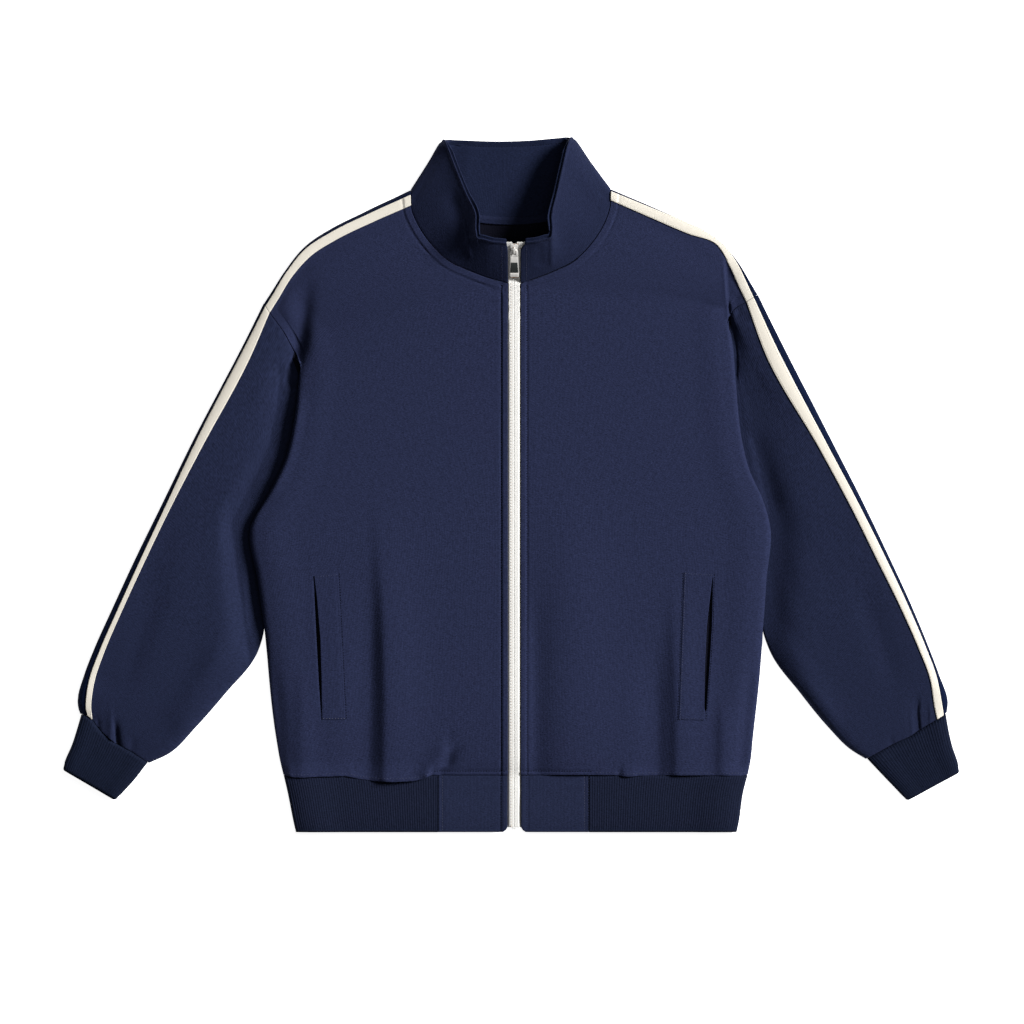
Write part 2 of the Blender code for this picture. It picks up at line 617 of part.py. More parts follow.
def sleeve_grid(side, armhole):
    """Outer surface of a sleeve: a ring of points for each row, armhole to cuff."""
    middle = 1 if side == "left" else -1
    start = seam_moved(armhole, middle, TUCK_DEPTH - SEAM_GAP - BUTT_GAP, -BUTT_GAP)
    lengths = path_lengths(start)
    total = lengths[-1]
    stripe_steps = len(SHOULDER_STEPS)
    clear = total - lengths[stripe_steps - 1] - INNER_CURL
    middle_shares = [(length - lengths[stripe_steps - 1]) / clear for length in lengths[stripe_steps:-1]]
    top_start = [(x, y, z) for x, y, z in start[:-1]]
    end = start[-1]
    curl = INNER_CURL / total
    tail = [along(start, 1 - curl * step) for step in INNER_STEPS]
    low_end = ARMHOLE_HEIGHTS["turn_in"]
    top_start += [(x, y, low_end + (TUCK_TOP - low_end) * round_over(step * INNER_CURL, INNER_CURL))
                  for (x, y, _), step in zip(tail, INNER_STEPS)]
    rows = [dict(ARMHOLE_HEIGHTS, out_x=start[0][0], out_y=start[0][1], in_x=end[0], in_y=end[1],
                 z_in=TUCK_TOP)]
    rows += named_rows(SLEEVE_COLUMNS, SLEEVE_ROWS[side])
    grid = []
    for index, row in enumerate(rows):
        outer, inner = (row["out_x"], row["out_y"]), (row["in_x"], row["in_y"])
        width = hypot(inner[0] - outer[0], inner[1] - outer[1])
        direction = ((inner[0] - outer[0]) / width, (inner[1] - outer[1]) / width)
        if index:
            nearby = rows[index + 1] if index + 1 < len(rows) else rows[index - 1]
            edge = (nearby["out_x"] - outer[0], nearby["out_y"] - outer[1])
            squareness = abs(direction[0] * edge[1] - direction[1] * edge[0]) / hypot(*edge)
            near, far = row["near"] / squareness, row["far"] / squareness
            offsets = [near * a + far * b + c for a, b, c in SHOULDER_STEPS[::-1]]
        else:
            squareness = 1.0
            offsets = lengths[:stripe_steps]
        turn_in = min(row["turn_in"], beside_body(side, *inner, row["high"]) / 2)
        curl_in = CURL_SPREAD * turn_in
        clear = width - offsets[-1] - curl_in
        positions = offsets + [offsets[-1] + share * clear for share in middle_shares]
        positions += [width - curl_in * step for step in INNER_STEPS]
        top, bottom = [], []
        for column, position in enumerate(positions):
            share = position / width
            x, y = outer[0] + direction[0] * position, outer[1] + direction[1] * position
            from_inner = width - position
            bow = SLEEVE_BOW[index]
            if index and bow:
                seam = top_start[column]
                part_way = share_at(top_start, column)
                chord = mix(top_start[0], top_start[-1], part_way)
                x += (seam[0] - chord[0]) * bow * (1 - part_way * part_way)
                y += (seam[1] - chord[1]) * bow * (1 - part_way * part_way)
            side_height = row["z_in"] + (row["high"] - row["z_in"]) * smooth_step(from_inner / row["rise"])
            side_height = min(side_height, beside_body(side, x, y, row["high"]))
            fall_out = round_over(position * squareness)
            height = row["turn_out"] + (side_height - row["turn_out"]) * fall_out
            fall_in = round_over(from_inner, curl_in)
            if from_inner < curl_in:
                height = turn_in + (side_height - turn_in) * fall_in
            low = row["turn_out"] * (1 - fall_out) + turn_in * (1 - fall_in)
            blend = SLEEVE_BLEND[index]
            height += (top_start[column][2] - height) * blend
            if index == 0:
                x, y = top_start[column][:2]
            top.append((x, y, height))
            bottom.append((x, y, low))
        grid.append(top + bottom[-2:0:-1])
    return grid


def cuff_grid(side):
    """Outer surface of a cuff: a ring of points for each row."""
    grid = []
    for row in named_rows(CUFF_COLUMNS, CUFF_ROWS[side]):
        outer, inner = (row["out_x"], row["out_y"]), (row["in_x"], row["in_y"])
        width = hypot(inner[0] - outer[0], inner[1] - outer[1])
        positions = list(CUFF_OFFSETS) + [width * share for share in CUFF_MAIN]
        positions += [width - offset for offset in CUFF_OFFSETS[::-1]]
        turn = row["high"] / 2
        top, bottom = [], []
        for position in positions:
            share = position / width
            x, y = mix(outer, inner, share)
            fall = round_over(min(position, width - position), CUFF_OFFSETS[-1])
            top.append((x, y, turn + turn * fall))
            bottom.append((x, y, turn - turn * fall))
        grid.append(top + bottom[-2:0:-1])
    return grid


# ---- hem ----

def hem_grid():
    """Outer surface of the ribbed hem: from the left tab round the back to the right tab."""
    left_end, right_end = TAB_ENDS["left"][0] - BUTT_GAP, TAB_ENDS["right"][1] + BUTT_GAP
    grid = []
    for row in named_rows(HEM_COLUMNS, HEM_ROWS):
        left, right, high = row["left_x"], row["right_x"], row["high"]
        width = right - left
        turn = high / 2
        line = []
        for share in HEM_FRONT:
            line.append((left_end + (left + HEM_OFFSETS[-1] - left_end) * share, row["y"], high))
        for offset in HEM_OFFSETS[::-1]:
            fall = round_over(offset, HEM_OFFSETS[-1])
            line.append((left + offset, row["y"], turn + turn * fall))
        for offset in HEM_OFFSETS[1:]:
            fall = round_over(offset, HEM_OFFSETS[-1])
            line.append((left + offset, row["y"], turn - turn * fall))
        for share in HEM_BACK:
            line.append((left + width * share, row["y"], 0.0))
        for offset in HEM_OFFSETS[::-1]:
            fall = round_over(offset, HEM_OFFSETS[-1])
            line.append((right - offset, row["y"], turn - turn * fall))
        for offset in HEM_OFFSETS[1:]:
            fall = round_over(offset, HEM_OFFSETS[-1])
            line.append((right - offset, row["y"], turn + turn * fall))
        for share in (1 - part for part in HEM_FRONT[::-1]):
            line.append((right - HEM_OFFSETS[-1] + (right_end - right + HEM_OFFSETS[-1]) * share,
                         row["y"], high))
        grid.append(line)
    return grid


def tab_grid(side):
    start, end = TAB_ENDS[side]
    return [[(start + (end - start) * share, row["y"], row["high"]) for share in TAB_STEPS]
            for row in named_rows(HEM_COLUMNS, HEM_ROWS)]


# ---- collar ----

def collar_grid(fronts, back):
    """Outer surface of the collar: stations from the left front edge round the back to the right."""
    first = len(FRONT_ROWS["left"]) - NECK_ROWS
    top_row = back[-1]
    shares = BACK_OFFSETS + BACK_MAIN
    left_corner = shares.index(NECK_START)
    right_corner = shares.index(1 - NECK_START)
    centre = shares.index(0.5)
    neck_left = [row[0] for row in fronts["left"][first:]] + top_row[left_corner + 1:centre + 1]
    neck_right = [row[0] for row in fronts["right"][first:]] + top_row[centre:right_corner][::-1]
    seams = neck_left + neck_right[-2::-1]
    tops = list(COLLAR_TOPS["left"]) + list(COLLAR_TOPS["right"])[-2::-1]
    grid = []
    for rise in COLLAR_RISE:
        line = []
        for seam, top in zip(seams, tops):
            way = Vector(top) - Vector(seam)
            start = Vector(seam) + way.normalized() * COLLAR_GAP
            line.append(tuple(start.lerp(Vector(top), rise)))
        grid.append(line)
    return grid


# ---- pockets ----

def surface_of(grid):
    """A panel's outer surface for measuring: its points and the triangles between them."""
    points = [Vector(p) for row in grid for p in row]
    columns = len(grid[0])
    faces = []
    for i in range(len(grid) - 1):
        for j in range(columns - 1):
            corner = i * columns + j
            faces.append((corner, corner + 1, corner + 1 + columns))
            faces.append((corner, corner + 1 + columns, corner + columns))
    return BVHTree.FromPolygons(points, faces)


def height_on(surface, x, y):
    return surface.ray_cast(Vector((x, y, ABOVE_ALL)), Vector((0, 0, -1)))[0].z


def welt_grid(side, surface):
    """The welt's underside: the front's own surface between the slit and the stitched edge."""
    pocket = POCKETS[side]
    slit = [pocket["top"][0], *pocket["slit_in"][1:-1], pocket["bottom"][0]]
    seam = (pocket["top"][1], pocket["bottom"][1])
    grid = []
    for share in WELT_ROWS:
        start, end = along(slit, share), along(seam, share)
        line = []
        for across in WELT_COLUMNS:
            x, y = mix(start, end, across)
            line.append((x, y, height_on(surface, x, y)))
        grid.append(line)
    return grid


def cut_slit(side, front):
    """Cuts the pocket's slit through the front."""
    pocket = POCKETS[side]
    outline = list(pocket["slit_out"]) + list(pocket["slit_in"])[::-1]
    mesh = bmesh.new()
    top_height = max(row["z_in"] for row in front_rows(side)) + CUT_DEPTH
    low = [mesh.verts.new(Vector((x, y, CUT_DEPTH)) * MM) for x, y in outline]
    high = [mesh.verts.new(Vector((x, y, top_height)) * MM) for x, y in outline]
    mesh.faces.new(low)
    mesh.faces.new(high)
    for index in range(len(outline)):
        after = (index + 1) % len(outline)
        mesh.faces.new((low[index], low[after], high[after], high[index]))
    bmesh.ops.recalc_face_normals(mesh, faces=mesh.faces)
    data = bpy.data.meshes.new("slit_cutter_" + side)
    mesh.to_mesh(data)
    mesh.free()
    cutter = bpy.data.objects.new("slit_cutter_" + side, data)
    cutter.hide_render = True
    cutter.display_type = "WIRE"
    bpy.context.scene.collection.objects.link(cutter)
    cut = front.modifiers.new("slit", "BOOLEAN")
    cut.operation = "DIFFERENCE"
    cut.solver = "EXACT"
    cut.object = cutter


def bag_grid(side, surface):
    """The pocket bag's upper side: the front's inner surface, from beside the slit inwards."""
    start = POCKETS[side]["slit_out"][0]
    middle = 1 if side == "left" else -1
    grid = []
    for down in WELT_ROWS:
        line = []
        for across in WELT_COLUMNS:
            x = start[0] + middle * (across * BAG_WIDTH - BAG_BEHIND)
            y = start[1] + BAG_ABOVE - down * BAG_LENGTH
            line.append((x, y, height_on(surface, x, y) - BODY_CLOTH - BAG_DROP))
        grid.append(line)
    return grid


# ---- zip ----

def edge_path(front):
    """Height of the fronts' edge beside the zip: y, z and cloth above the tape, hem to collar top."""
    hem = named_rows(HEM_COLUMNS, HEM_ROWS)
    path = [(row["y"], row["high"], TAB_CLOTH) for row in hem[-2::-1]]
    for row in front[1:len(FRONT_ROWS["left"]) - NECK_ROWS + 1]:
        path.append((row[0][1], row[0][2], BODY_CLOTH))
    return path


def collar_slope():
    """Where the collar's front edge starts, and its direction up towards the top edge."""
    start = Vector(COLLAR_EDGE_START)
    top = COLLAR_TOPS["left"][0]
    return start, (Vector((top[1], top[2])) - start).normalized()


def tape_line(front):
    """Centre line of the tapes' upper side: y and z from the hem to the collar's top."""
    line = [(y, z - cloth_above - SEAM_GAP) for y, z, cloth_above in edge_path(front)[:-1]]
    start, slope = collar_slope()
    below = Vector((slope.y, -slope.x)) * (2 * COLLAR_CLOTH + COLLAR_GAP + COLLAR_TAPE_DROP)
    for y in COLLAR_TAPE_YS:
        distance = (y - start.x - below.x) / slope.x
        point = start + below + slope * distance
        line.append((point.x, point.y))
    return line


def tape_grid(side, front):
    out = -1 if side == "left" else 1
    grid = []
    for y, z in tape_line(front):
        split = OPEN_SPREAD if y > OPEN_FROM_Y else TAPE_SPLIT
        reach = TAPE_REACH if y < NECK_SEAM_Y else COLLAR_TAPE_REACH
        grid.append([(ZIP_X + out * split, y, z), (ZIP_X + out * reach, y, z)])
    return grid


def slider_frame(front):
    """Places slope coordinates on the tapes at the slider."""
    line = tape_line(front)
    slope = collar_slope()[1]
    for before, after in zip(line, line[1:]):
        if before[0] <= SLIDER_Y <= after[0]:
            z = mix(before, after, (SLIDER_Y - before[0]) / (after[0] - before[0]))[1]
    turn = Matrix.Rotation(atan2(slope.y, slope.x), 4, "X")
    return Matrix.Translation(Vector((ZIP_X, SLIDER_Y, z)) * MM) @ turn


def plate_outline(length, top_width, low_width, corner, top_at):
    """A tapered plate's outline with cut corners, its upper end at top_at."""
    high, low = top_width / 2, low_width / 2
    end = top_at - length
    return [(high, top_at - corner), (high - corner, top_at), (corner - high, top_at),
            (-high, top_at - corner), (-low, end + corner), (corner - low, end), (low - corner, end),
            (low, end + corner)]


def prism(mesh, outline, low, high):
    """A flat-sided block between two heights over an outline."""
    bottom = [mesh.verts.new(Vector((x, y, low)) * MM) for x, y in outline]
    top = [mesh.verts.new(Vector((x, y, high)) * MM) for x, y in outline]
    mesh.faces.new(bottom[::-1])
    mesh.faces.new(top)
    for index in range(len(outline)):
        after = (index + 1) % len(outline)
        mesh.faces.new((bottom[index], bottom[after], top[after], top[index]))


def solid(name, blocks, material, hidden=False):
    """A block for a piece, or for cutting or joining one, from (outline, low, high)."""
    mesh = bmesh.new()
    for outline, low, high in blocks:
        prism(mesh, outline, low, high)
    bmesh.ops.recalc_face_normals(mesh, faces=mesh.faces)
    data = bpy.data.meshes.new(name)
    mesh.to_mesh(data)
    mesh.free()
    data.materials.append(material)
    piece = bpy.data.objects.new(name, data)
    if hidden:
        piece.hide_render = True
        piece.display_type = "WIRE"
    bpy.context.scene.collection.objects.link(piece)
    return piece


def boolean(piece, other, operation):
    change = piece.modifiers.new(other.name, "BOOLEAN")
    change.operation = operation
    change.solver = "EXACT"
    change.object = other


def box_outline(x, y, width, length):
    return [(x - width / 2, y - length / 2), (x + width / 2, y - length / 2),
            (x + width / 2, y + length / 2), (x - width / 2, y + length / 2)]


def build_slider(frame, metal):
    """Two plates on a post, and a bridge over the upper plate that holds the pull's bar."""
    half = SLIDER_LENGTH / 2
    plate_top = PLATE_GAP + PLATE
    lower_top = -TAPE_CLOTH - PLATE_GAP
    outline = plate_outline(SLIDER_LENGTH, SLIDER_TOP_WIDTH, SLIDER_LOW_WIDTH, SLIDER_CORNER, half)
    slider = solid("zip_slider", [(outline, PLATE_GAP, plate_top)], metal)
    under = plate_outline(SLIDER_LENGTH - UNDER_LESS_LENGTH, SLIDER_TOP_WIDTH - UNDER_LESS_WIDTH,
                          SLIDER_LOW_WIDTH - UNDER_LESS_WIDTH, SLIDER_CORNER, half - UNDER_BACK)
    post = box_outline(0.0, half - POST_LENGTH / 2 - POST_INSET, POST_WIDTH, POST_LENGTH)
    parts = [("slider_under", [(under, lower_top - PLATE, lower_top)]),
             ("slider_post", [(post, lower_top - PLATE / 2, plate_top - PLATE / 2)])]
    leg = BRIDGE_THICK
    for name, way in (("slider_leg_low", -1), ("slider_leg_high", 1)):
        y = way * (BRIDGE_REACH - leg / 2)
        parts.append((name, [(box_outline(0.0, y, BRIDGE_WIDTH, leg), plate_top - PLATE / 2,
                              BRIDGE_LOW + BRIDGE_THICK / 2)]))
    parts.append(("slider_arch", [(box_outline(0.0, 0.0, BRIDGE_WIDTH, 2 * BRIDGE_REACH), BRIDGE_LOW,
                                   BRIDGE_LOW + BRIDGE_THICK)]))
    slider.matrix_world = frame
    for name, blocks in parts:
        part = solid(name, blocks, metal, hidden=True)
        part.matrix_world = frame
        boolean(slider, part, "UNION")
    return slider


def build_pull(frame, metal):
    """The pull tab: a tapered plate with a window round the bridge and a shallow inlay field."""
    top_at = HINGE_BAR / 2
    outline = plate_outline(PULL_LENGTH, PULL_TOP_WIDTH, PULL_LOW_WIDTH, PULL_CORNER, top_at)
    half = PULL_THICK / 2
    pull = solid("zip_pull", [(outline, -half, half)], metal)
    window = box_outline(0.0, -HINGE_BAR / 2 - WINDOW_LENGTH / 2, WINDOW_WIDTH, WINDOW_LENGTH)
    inlay = box_outline(0.0, -INLAY_TOP - INLAY_LENGTH / 2, INLAY_WIDTH, INLAY_LENGTH)
    cutters = [("pull_window", [(window, -PULL_THICK, PULL_THICK)]),
               ("pull_inlay", [(inlay, half - INLAY_DEPTH, PULL_THICK)])]
    hinge = frame @ Matrix.Translation(Vector((0, 0, HINGE_HEIGHT)) * MM)
    pull.matrix_world = hinge
    for name, blocks in cutters:
        cutter = solid(name, blocks, metal, hidden=True)
        cutter.matrix_world = hinge
        boolean(pull, cutter, "DIFFERENCE")
    return pull


# ---- stripes ----

def stripe_grids(side, front, sleeve):
    """The panels' own points under the stripe: on the shoulder, and down the sleeve."""
    first, last = len(FRONT_ROWS[side]), len(SHOULDER_STEPS) - 1
    shoulder = [[front[first + step][column] for step in STRIPE_STEPS] for column in range(len(front[0]))]
    arm = [[row[last - step] for step in STRIPE_STEPS] for row in sleeve]
    return shoulder, arm


# ---- assembly ----

def clear_scene():
    for piece in list(bpy.data.objects):
        bpy.data.objects.remove(piece)


def build_front(side, grid):
    turned = [index for index, row in enumerate(front_rows(side)) if 80 <= row["turn"] <= 100]
    level = [(index, -1) for index in turned]
    level += [(-1, column) for column in range(len(grid[0]))]
    inner = inner_side(grid, BODY_CLOTH, (3, 3), level=level)
    return skin("front_" + side, grid, inner, cloth("front_" + side + "_cloth", NAVY, KNIT_ROUGH))


def build_back(grid):
    columns = len(grid[0])
    level = [(row, column) for row in range(len(BACK_EDGES)) for column in (0, columns - 1)]
    neck = len(BACK_OFFSETS) + BACK_MAIN.index(NECK_START)
    level += [(-1, column) for column in range(columns) if not neck < column < columns - 1 - neck]
    inner = inner_side(grid, BODY_CLOTH, (8, 12), upward=True, level=level)
    return skin("back", grid, inner, cloth("back_cloth", NAVY, KNIT_ROUGH))


def build():
    clear_scene()
    fronts = {side: front_grid(side) for side in ("left", "right")}
    back = back_grid(fronts)
    build_back(back)
    for side in ("left", "right"):
        front = build_front(side, fronts[side])
        cut_slit(side, front)
        surface = surface_of(fronts[side])
        layer_on("welt_" + side, welt_grid(side, surface), SEAM_GAP, WELT_CLOTH,
                 cloth("welt_" + side + "_cloth", NAVY, KNIT_ROUGH))
        bag = bag_grid(side, surface)
        skin("pocket_bag_" + side, bag, inner_side(bag, BAG_CLOTH, (2, 2)),
             cloth("pocket_bag_" + side + "_cloth", NAVY, RIB_ROUGH))
        sleeve = sleeve_grid(side, armhole_points(side, fronts[side]))
        skin("sleeve_" + side, sleeve, inner_side(sleeve, SLEEVE_CLOTH, (6, 9), closed=True),
             cloth("sleeve_" + side + "_cloth", NAVY, KNIT_ROUGH), closed=True)
        shoulder, arm = stripe_grids(side, fronts[side], sleeve)
        layer_on("stripe_shoulder_" + side, shoulder, SEAM_GAP, STRIPE_CLOTH,
                 cloth("stripe_shoulder_" + side + "_tape", CREAM, TAPE_ROUGH))
        layer_on("stripe_sleeve_" + side, arm, SEAM_GAP, STRIPE_CLOTH,
                 cloth("stripe_sleeve_" + side + "_tape", CREAM, TAPE_ROUGH))
        cuff = cuff_grid(side)
        skin("cuff_" + side, cuff, inner_side(cuff, RIB_CLOTH, (1, 5), closed=True),
             cloth("cuff_" + side + "_rib", RIB_NAVY, RIB_ROUGH), closed=True)
        tab = tab_grid(side)
        skin("hem_tab_" + side, tab, inner_side(tab, TAB_CLOTH, (1, 1)),
             cloth("hem_tab_" + side + "_cloth", NAVY, KNIT_ROUGH))
        tape = tape_grid(side, fronts["left"])
        skin("zip_tape_" + side, tape, inner_side(tape, TAPE_CLOTH, (5, 1)),
             cloth("zip_tape_" + side + "_tape", CREAM, TAPE_ROUGH))
    hem = hem_grid()
    skin("hem_rib", hem, inner_side(hem, RIB_CLOTH, (1, 1)), cloth("hem_rib_cloth", RIB_NAVY, RIB_ROUGH))
    collar = collar_grid(fronts, back)
    gap = COLLAR_CLOTH + COLLAR_GAP
    skin("collar_outer", collar, inner_side(collar, COLLAR_CLOTH, (1, 3)),
         cloth("collar_outer_cloth", NAVY, KNIT_ROUGH))
    skin("collar_inner", inner_side(collar, gap, (1, 3)), inner_side(collar, gap + COLLAR_CLOTH, (1, 3)),
         cloth("collar_inner_cloth", NAVY, KNIT_ROUGH))
    frame = slider_frame(fronts["left"])
    build_slider(frame, cloth("slider_metal", METAL, METAL_ROUGH, 1.0))
    build_pull(frame, cloth("pull_metal", METAL, METAL_ROUGH, 1.0))


build()
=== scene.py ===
from math import atan2, ceil, cos, hypot, pi, radians, sin, sqrt

import bmesh
import bpy
import numpy as np
from mathutils import Matrix, Vector
from mathutils.bvhtree import BVHTree


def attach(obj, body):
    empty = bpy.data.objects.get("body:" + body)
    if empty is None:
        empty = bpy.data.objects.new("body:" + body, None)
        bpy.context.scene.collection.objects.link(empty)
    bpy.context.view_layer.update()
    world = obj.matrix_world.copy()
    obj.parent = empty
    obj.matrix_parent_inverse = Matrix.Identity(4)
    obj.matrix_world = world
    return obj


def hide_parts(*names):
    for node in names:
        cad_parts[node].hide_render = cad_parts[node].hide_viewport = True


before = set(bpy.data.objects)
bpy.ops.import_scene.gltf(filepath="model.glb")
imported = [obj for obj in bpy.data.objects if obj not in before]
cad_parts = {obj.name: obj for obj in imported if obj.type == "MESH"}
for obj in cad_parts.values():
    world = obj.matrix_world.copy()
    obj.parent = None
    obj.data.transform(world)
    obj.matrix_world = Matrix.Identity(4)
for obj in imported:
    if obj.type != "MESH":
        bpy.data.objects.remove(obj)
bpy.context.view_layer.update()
mm = 0.001  # the tables of shapes are in millimetres
outward = {"left": -1, "right": 1}  # as the viewer sees it


def namedRows(columns, rows):
    return [dict(zip(columns, row)) for row in rows]


def mix(start, end, share):
    return tuple(a + (b - a) * share for a, b in zip(start, end))


def smoothStep(value):
    value = min(1.0, max(0.0, value))
    return value * value * (3 - 2 * value)


def pathLengths(points):
    lengths = [0.0]
    for start, end in zip(points, points[1:]):
        lengths.append(lengths[-1] + hypot(end[0] - start[0], end[1] - start[1]))
    return lengths


def shareAt(points, index):
    lengths = pathLengths(points)
    return lengths[index] / lengths[-1]


def along(points, share):
    lengths = pathLengths(points)
    target = share * lengths[-1]
    for index in range(1, len(points)):
        if target <= lengths[index] or index == len(points) - 1:
            step = lengths[index] - lengths[index - 1]
            return mix(points[index - 1], points[index], (target - lengths[index - 1]) / step)


def distanceTo(point, path):
    best = float("inf")
    for start, end in zip(path, path[1:]):
        dx, dy = end[0] - start[0], end[1] - start[1]
        share = ((point[0] - start[0]) * dx + (point[1] - start[1]) * dy) / (dx * dx + dy * dy)
        share = min(1.0, max(0.0, share))
        best = min(best, hypot(point[0] - start[0] - share * dx, point[1] - start[1] - share * dy))
    return best


seamCut = {
    "seamGap": 0.3,
    "buttGap": 0.4,
    "tuckTop": 4.5,
    "tuckDepth": 7.0,
}


shoulderCut = {
    "shoulders": {
        "left": ((-115.9, 338.7), (-129.1, 330.6), (-169.3, 313.4), (-206.1, 295), (-230.3, 281.2),
                 (-248.2, 262.8), (-261.3, 244.4), (-271.2, 228.7), (-284.3, 208.7)),
        "right": ((114.7, 339.8), (123.9, 335.2), (157, 321.5), (191.8, 306.7), (221.2, 292.9),
                  (243.3, 278.3), (261.6, 255.3), (272.3, 237.5), (283.5, 218.6)),
    },
    "shoulderStripes": {
        "left": ((0, 5.4, 15.8), (0.27, 4.6, 15), (0.46, 4.4, 14.5), (0.6, 3.9, 14.4), (0.7, 2.4, 11.5),
                 (0.81, 3.2, 11), (1, 4, 11.8)),
        "right": ((0, 3, 12), (0.2, 2.4, 12.5), (0.4, 0.9, 12.5), (0.54, 0.8, 11.5), (0.62, 0.9, 6.2),
                  (0.7, 1.2, 6.5), (0.77, 1.5, 10.2), (0.88, 3.5, 13.5), (1, 6, 15.5)),
    },
    "seamHeadings": {"left": ((0.04, -1), (0.52, -0.85)), "right": ((-0.03, -1), (-0.845, -0.535))},
    "shoulderSteps": ((0, 1, 3), (0, 1, 0), (0.5, 0.5, 0), (1, 0, 0), (0.4, 0, 0),
                      (0, 0, 0)),
    "stripeSteps": (1, 2, 3),
    "shoulderHigh": 14,
    "shoulderFall": 1.5,
    "headingSpan": 0.03,
    "seamTurn": 0.1,
    "stripeCloth": 0.8,
}


def headingIn(side, share):
    shoulder = shoulderCut["shoulders"][side]
    start = along(shoulder, max(0.0, share - shoulderCut["headingSpan"]))
    end = along(shoulder, min(1.0, share + shoulderCut["headingSpan"]))
    dx, dy = end[0] - start[0], end[1] - start[1]
    length = hypot(dx, dy)
    square = (dy / length, -dx / length) if dx > 0 else (-dy / length, dx / length)
    neck, arm = shoulderCut["seamHeadings"][side]
    heading = square
    if share < shoulderCut["seamTurn"]:
        heading = mix(neck, square, share / shoulderCut["seamTurn"])
    if share > 1 - shoulderCut["seamTurn"]:
        heading = mix(square, arm, (share - 1 + shoulderCut["seamTurn"]) / shoulderCut["seamTurn"])
    return heading, heading[0] * square[0] + heading[1] * square[1]


def stripeEdges(side, share):
    rows = shoulderCut["shoulderStripes"][side]
    for before, after in zip(rows, rows[1:]):
        if share <= after[0]:
            return mix(before[1:], after[1:], (share - before[0]) / (after[0] - before[0]))


bodyCut = {
    "cloth": 2,
    "edgeWidth": 12,
    "shoulderTurn": 6.5,
    "foldUnder": 7,
    "foldLow": 5.1,
    "rollSteps": 5,
    "frontMain": (0, 0.27, 0.5, 0.68, 0.84, 1),
    "frontColumns": ("inX", "inY", "outX", "outY", "zIn", "zEdge", "zTurn", "turn", "bow"),
    "frontRows": {
        "left": (
            (-4.1, -334, -262.2, -334, 9.8, 9.8, 4.9, 90, 0),
            (-4.1, -318, -266, -318, 13, 10.5, 5, 90, 0),
            (-4.1, -293.8, -270.2, -293.8, 16, 12, 5.6, 90, 0),
            (-4.1, -178.8, -282.5, -178.8, 19, 14.5, 8, 115, 0),
            (-4.1, -145, -287, -143, 19.5, 15, 8.8, 150, 0),
            (-4.1, -112.1, -292, -108.7, 20, 15.5, 9.2, 176, 0),
            (-4.1, -52.3, -299.6, -47.7, 20, 16, 9.4, 178, 0),
            (-4.1, -6.3, -282.5, -16.7, 20, 16, 9.4, 178, 0),
            (-4.1, 39.7, -259.6, 30.5, 20, 16, 9.4, 178, 0),
            (-4.1, 85.7, -249.8, 74.2, 20, 16, 9.4, 178, 0),
            (-4.1, 137.4, -244.3, 120.2, 20, 15, 9.2, 170, 0),
            (-4.1, 183.4, -246.5, 146.6, 20, 13, 9.6, 70, 0.02),
            (-4.1, 230.6, -254.4, 162.7, 20, 10.5, 10, 0, 0.06),
            (-31.3, 238.6, -260, 173, 20, 11, 11, 0, 0.15),
            (-50, 246, -264, 179, 20, 11.5, 11.5, 0, 0.25),
            (-69.3, 254.7, -267.5, 184, 19.5, 12, 12, 0, 0.38),
            (-95, 279, -271, 188.5, 18, 12.5, 12.5, 0, 0.6),
            (-109, 301, -273.5, 192, 16, 12.5, 12.5, 0, 0.8),
        ),
        "right": (
            (10.9, -334, 272.3, -334, 9.8, 9.8, 4.9, 90, 0),
            (10.9, -318, 275.5, -318, 13, 10.5, 5, 90, 0),
            (10.9, -293.8, 278, -293.8, 16, 12, 5.6, 90, 0),
            (10.9, -178.8, 288.9, -178.8, 19, 14.5, 8, 115, 0),
            (10.9, -145, 291.4, -143, 19.5, 15, 8.8, 150, 0),
            (10.9, -112.1, 293.7, -109.8, 20, 15.5, 9.2, 176, 0),
            (10.9, -52.3, 297.9, -47.7, 20, 16, 9.4, 178, 0),
            (10.9, -6.3, 289.5, -18, 20, 16, 9.4, 178, 0),
            (10.9, 39.7, 273.4, 18.4, 20, 16, 9.4, 178, 0),
            (10.9, 85.7, 265.4, 51.2, 20, 16, 9.4, 178, 0),
            (10.9, 137.4, 258.5, 114.4, 20, 16, 9.4, 178, 0),
            (10.9, 183.4, 253.5, 169.6, 20, 15, 9.2, 170, 0.02),
            (10.9, 230.6, 251.5, 194, 20, 13, 9.6, 70, 0.06),
            (40, 240.9, 255, 200, 20, 11, 11, 0, 0.15),
            (53, 246.5, 258, 203, 20, 11.5, 11.5, 0, 0.25),
            (66.4, 252.9, 261, 205.2, 19.5, 12, 12, 0, 0.38),
            (95, 280, 264, 206.9, 18, 12.5, 12.5, 0, 0.6),
            (107.5, 300.5, 266, 208, 16, 12.5, 12.5, 0, 0.8),
        ),
    },
    "armpitRow": 6,
    "armpitDepths": {6: 2.4, 7: 1.3},
    "foldEndRow": {"left": 11, "right": 12},
    "foldEndHeight": 7,
    "neckRows": 6,
}


def roundOver(distance, width=bodyCut["edgeWidth"]):
    inside = 1 - min(1.0, max(0.0, distance / width))
    return sqrt(1 - inside * inside)


def rollProfile(row, step):
    share = step / bodyCut["rollSteps"]
    angle = radians(row["turn"]) * share
    if angle <= pi / 2:
        inward = bodyCut["edgeWidth"] * (1 - sin(angle))
        height = row["zTurn"] + (row["zEdge"] - row["zTurn"]) * cos(angle)
    else:
        inward = bodyCut["foldUnder"] * (1 - sin(angle))
        height = row["zTurn"] + (row["zTurn"] - bodyCut["foldLow"]) * cos(angle)
    rolled = min(1.0, row["turn"] / 90)
    flatInward = bodyCut["edgeWidth"] * (1 - share)
    return mix((flatInward, row["zEdge"]), (inward, height), rolled)


def frontRows(side):
    return namedRows(bodyCut["frontColumns"], bodyCut["frontRows"][side])


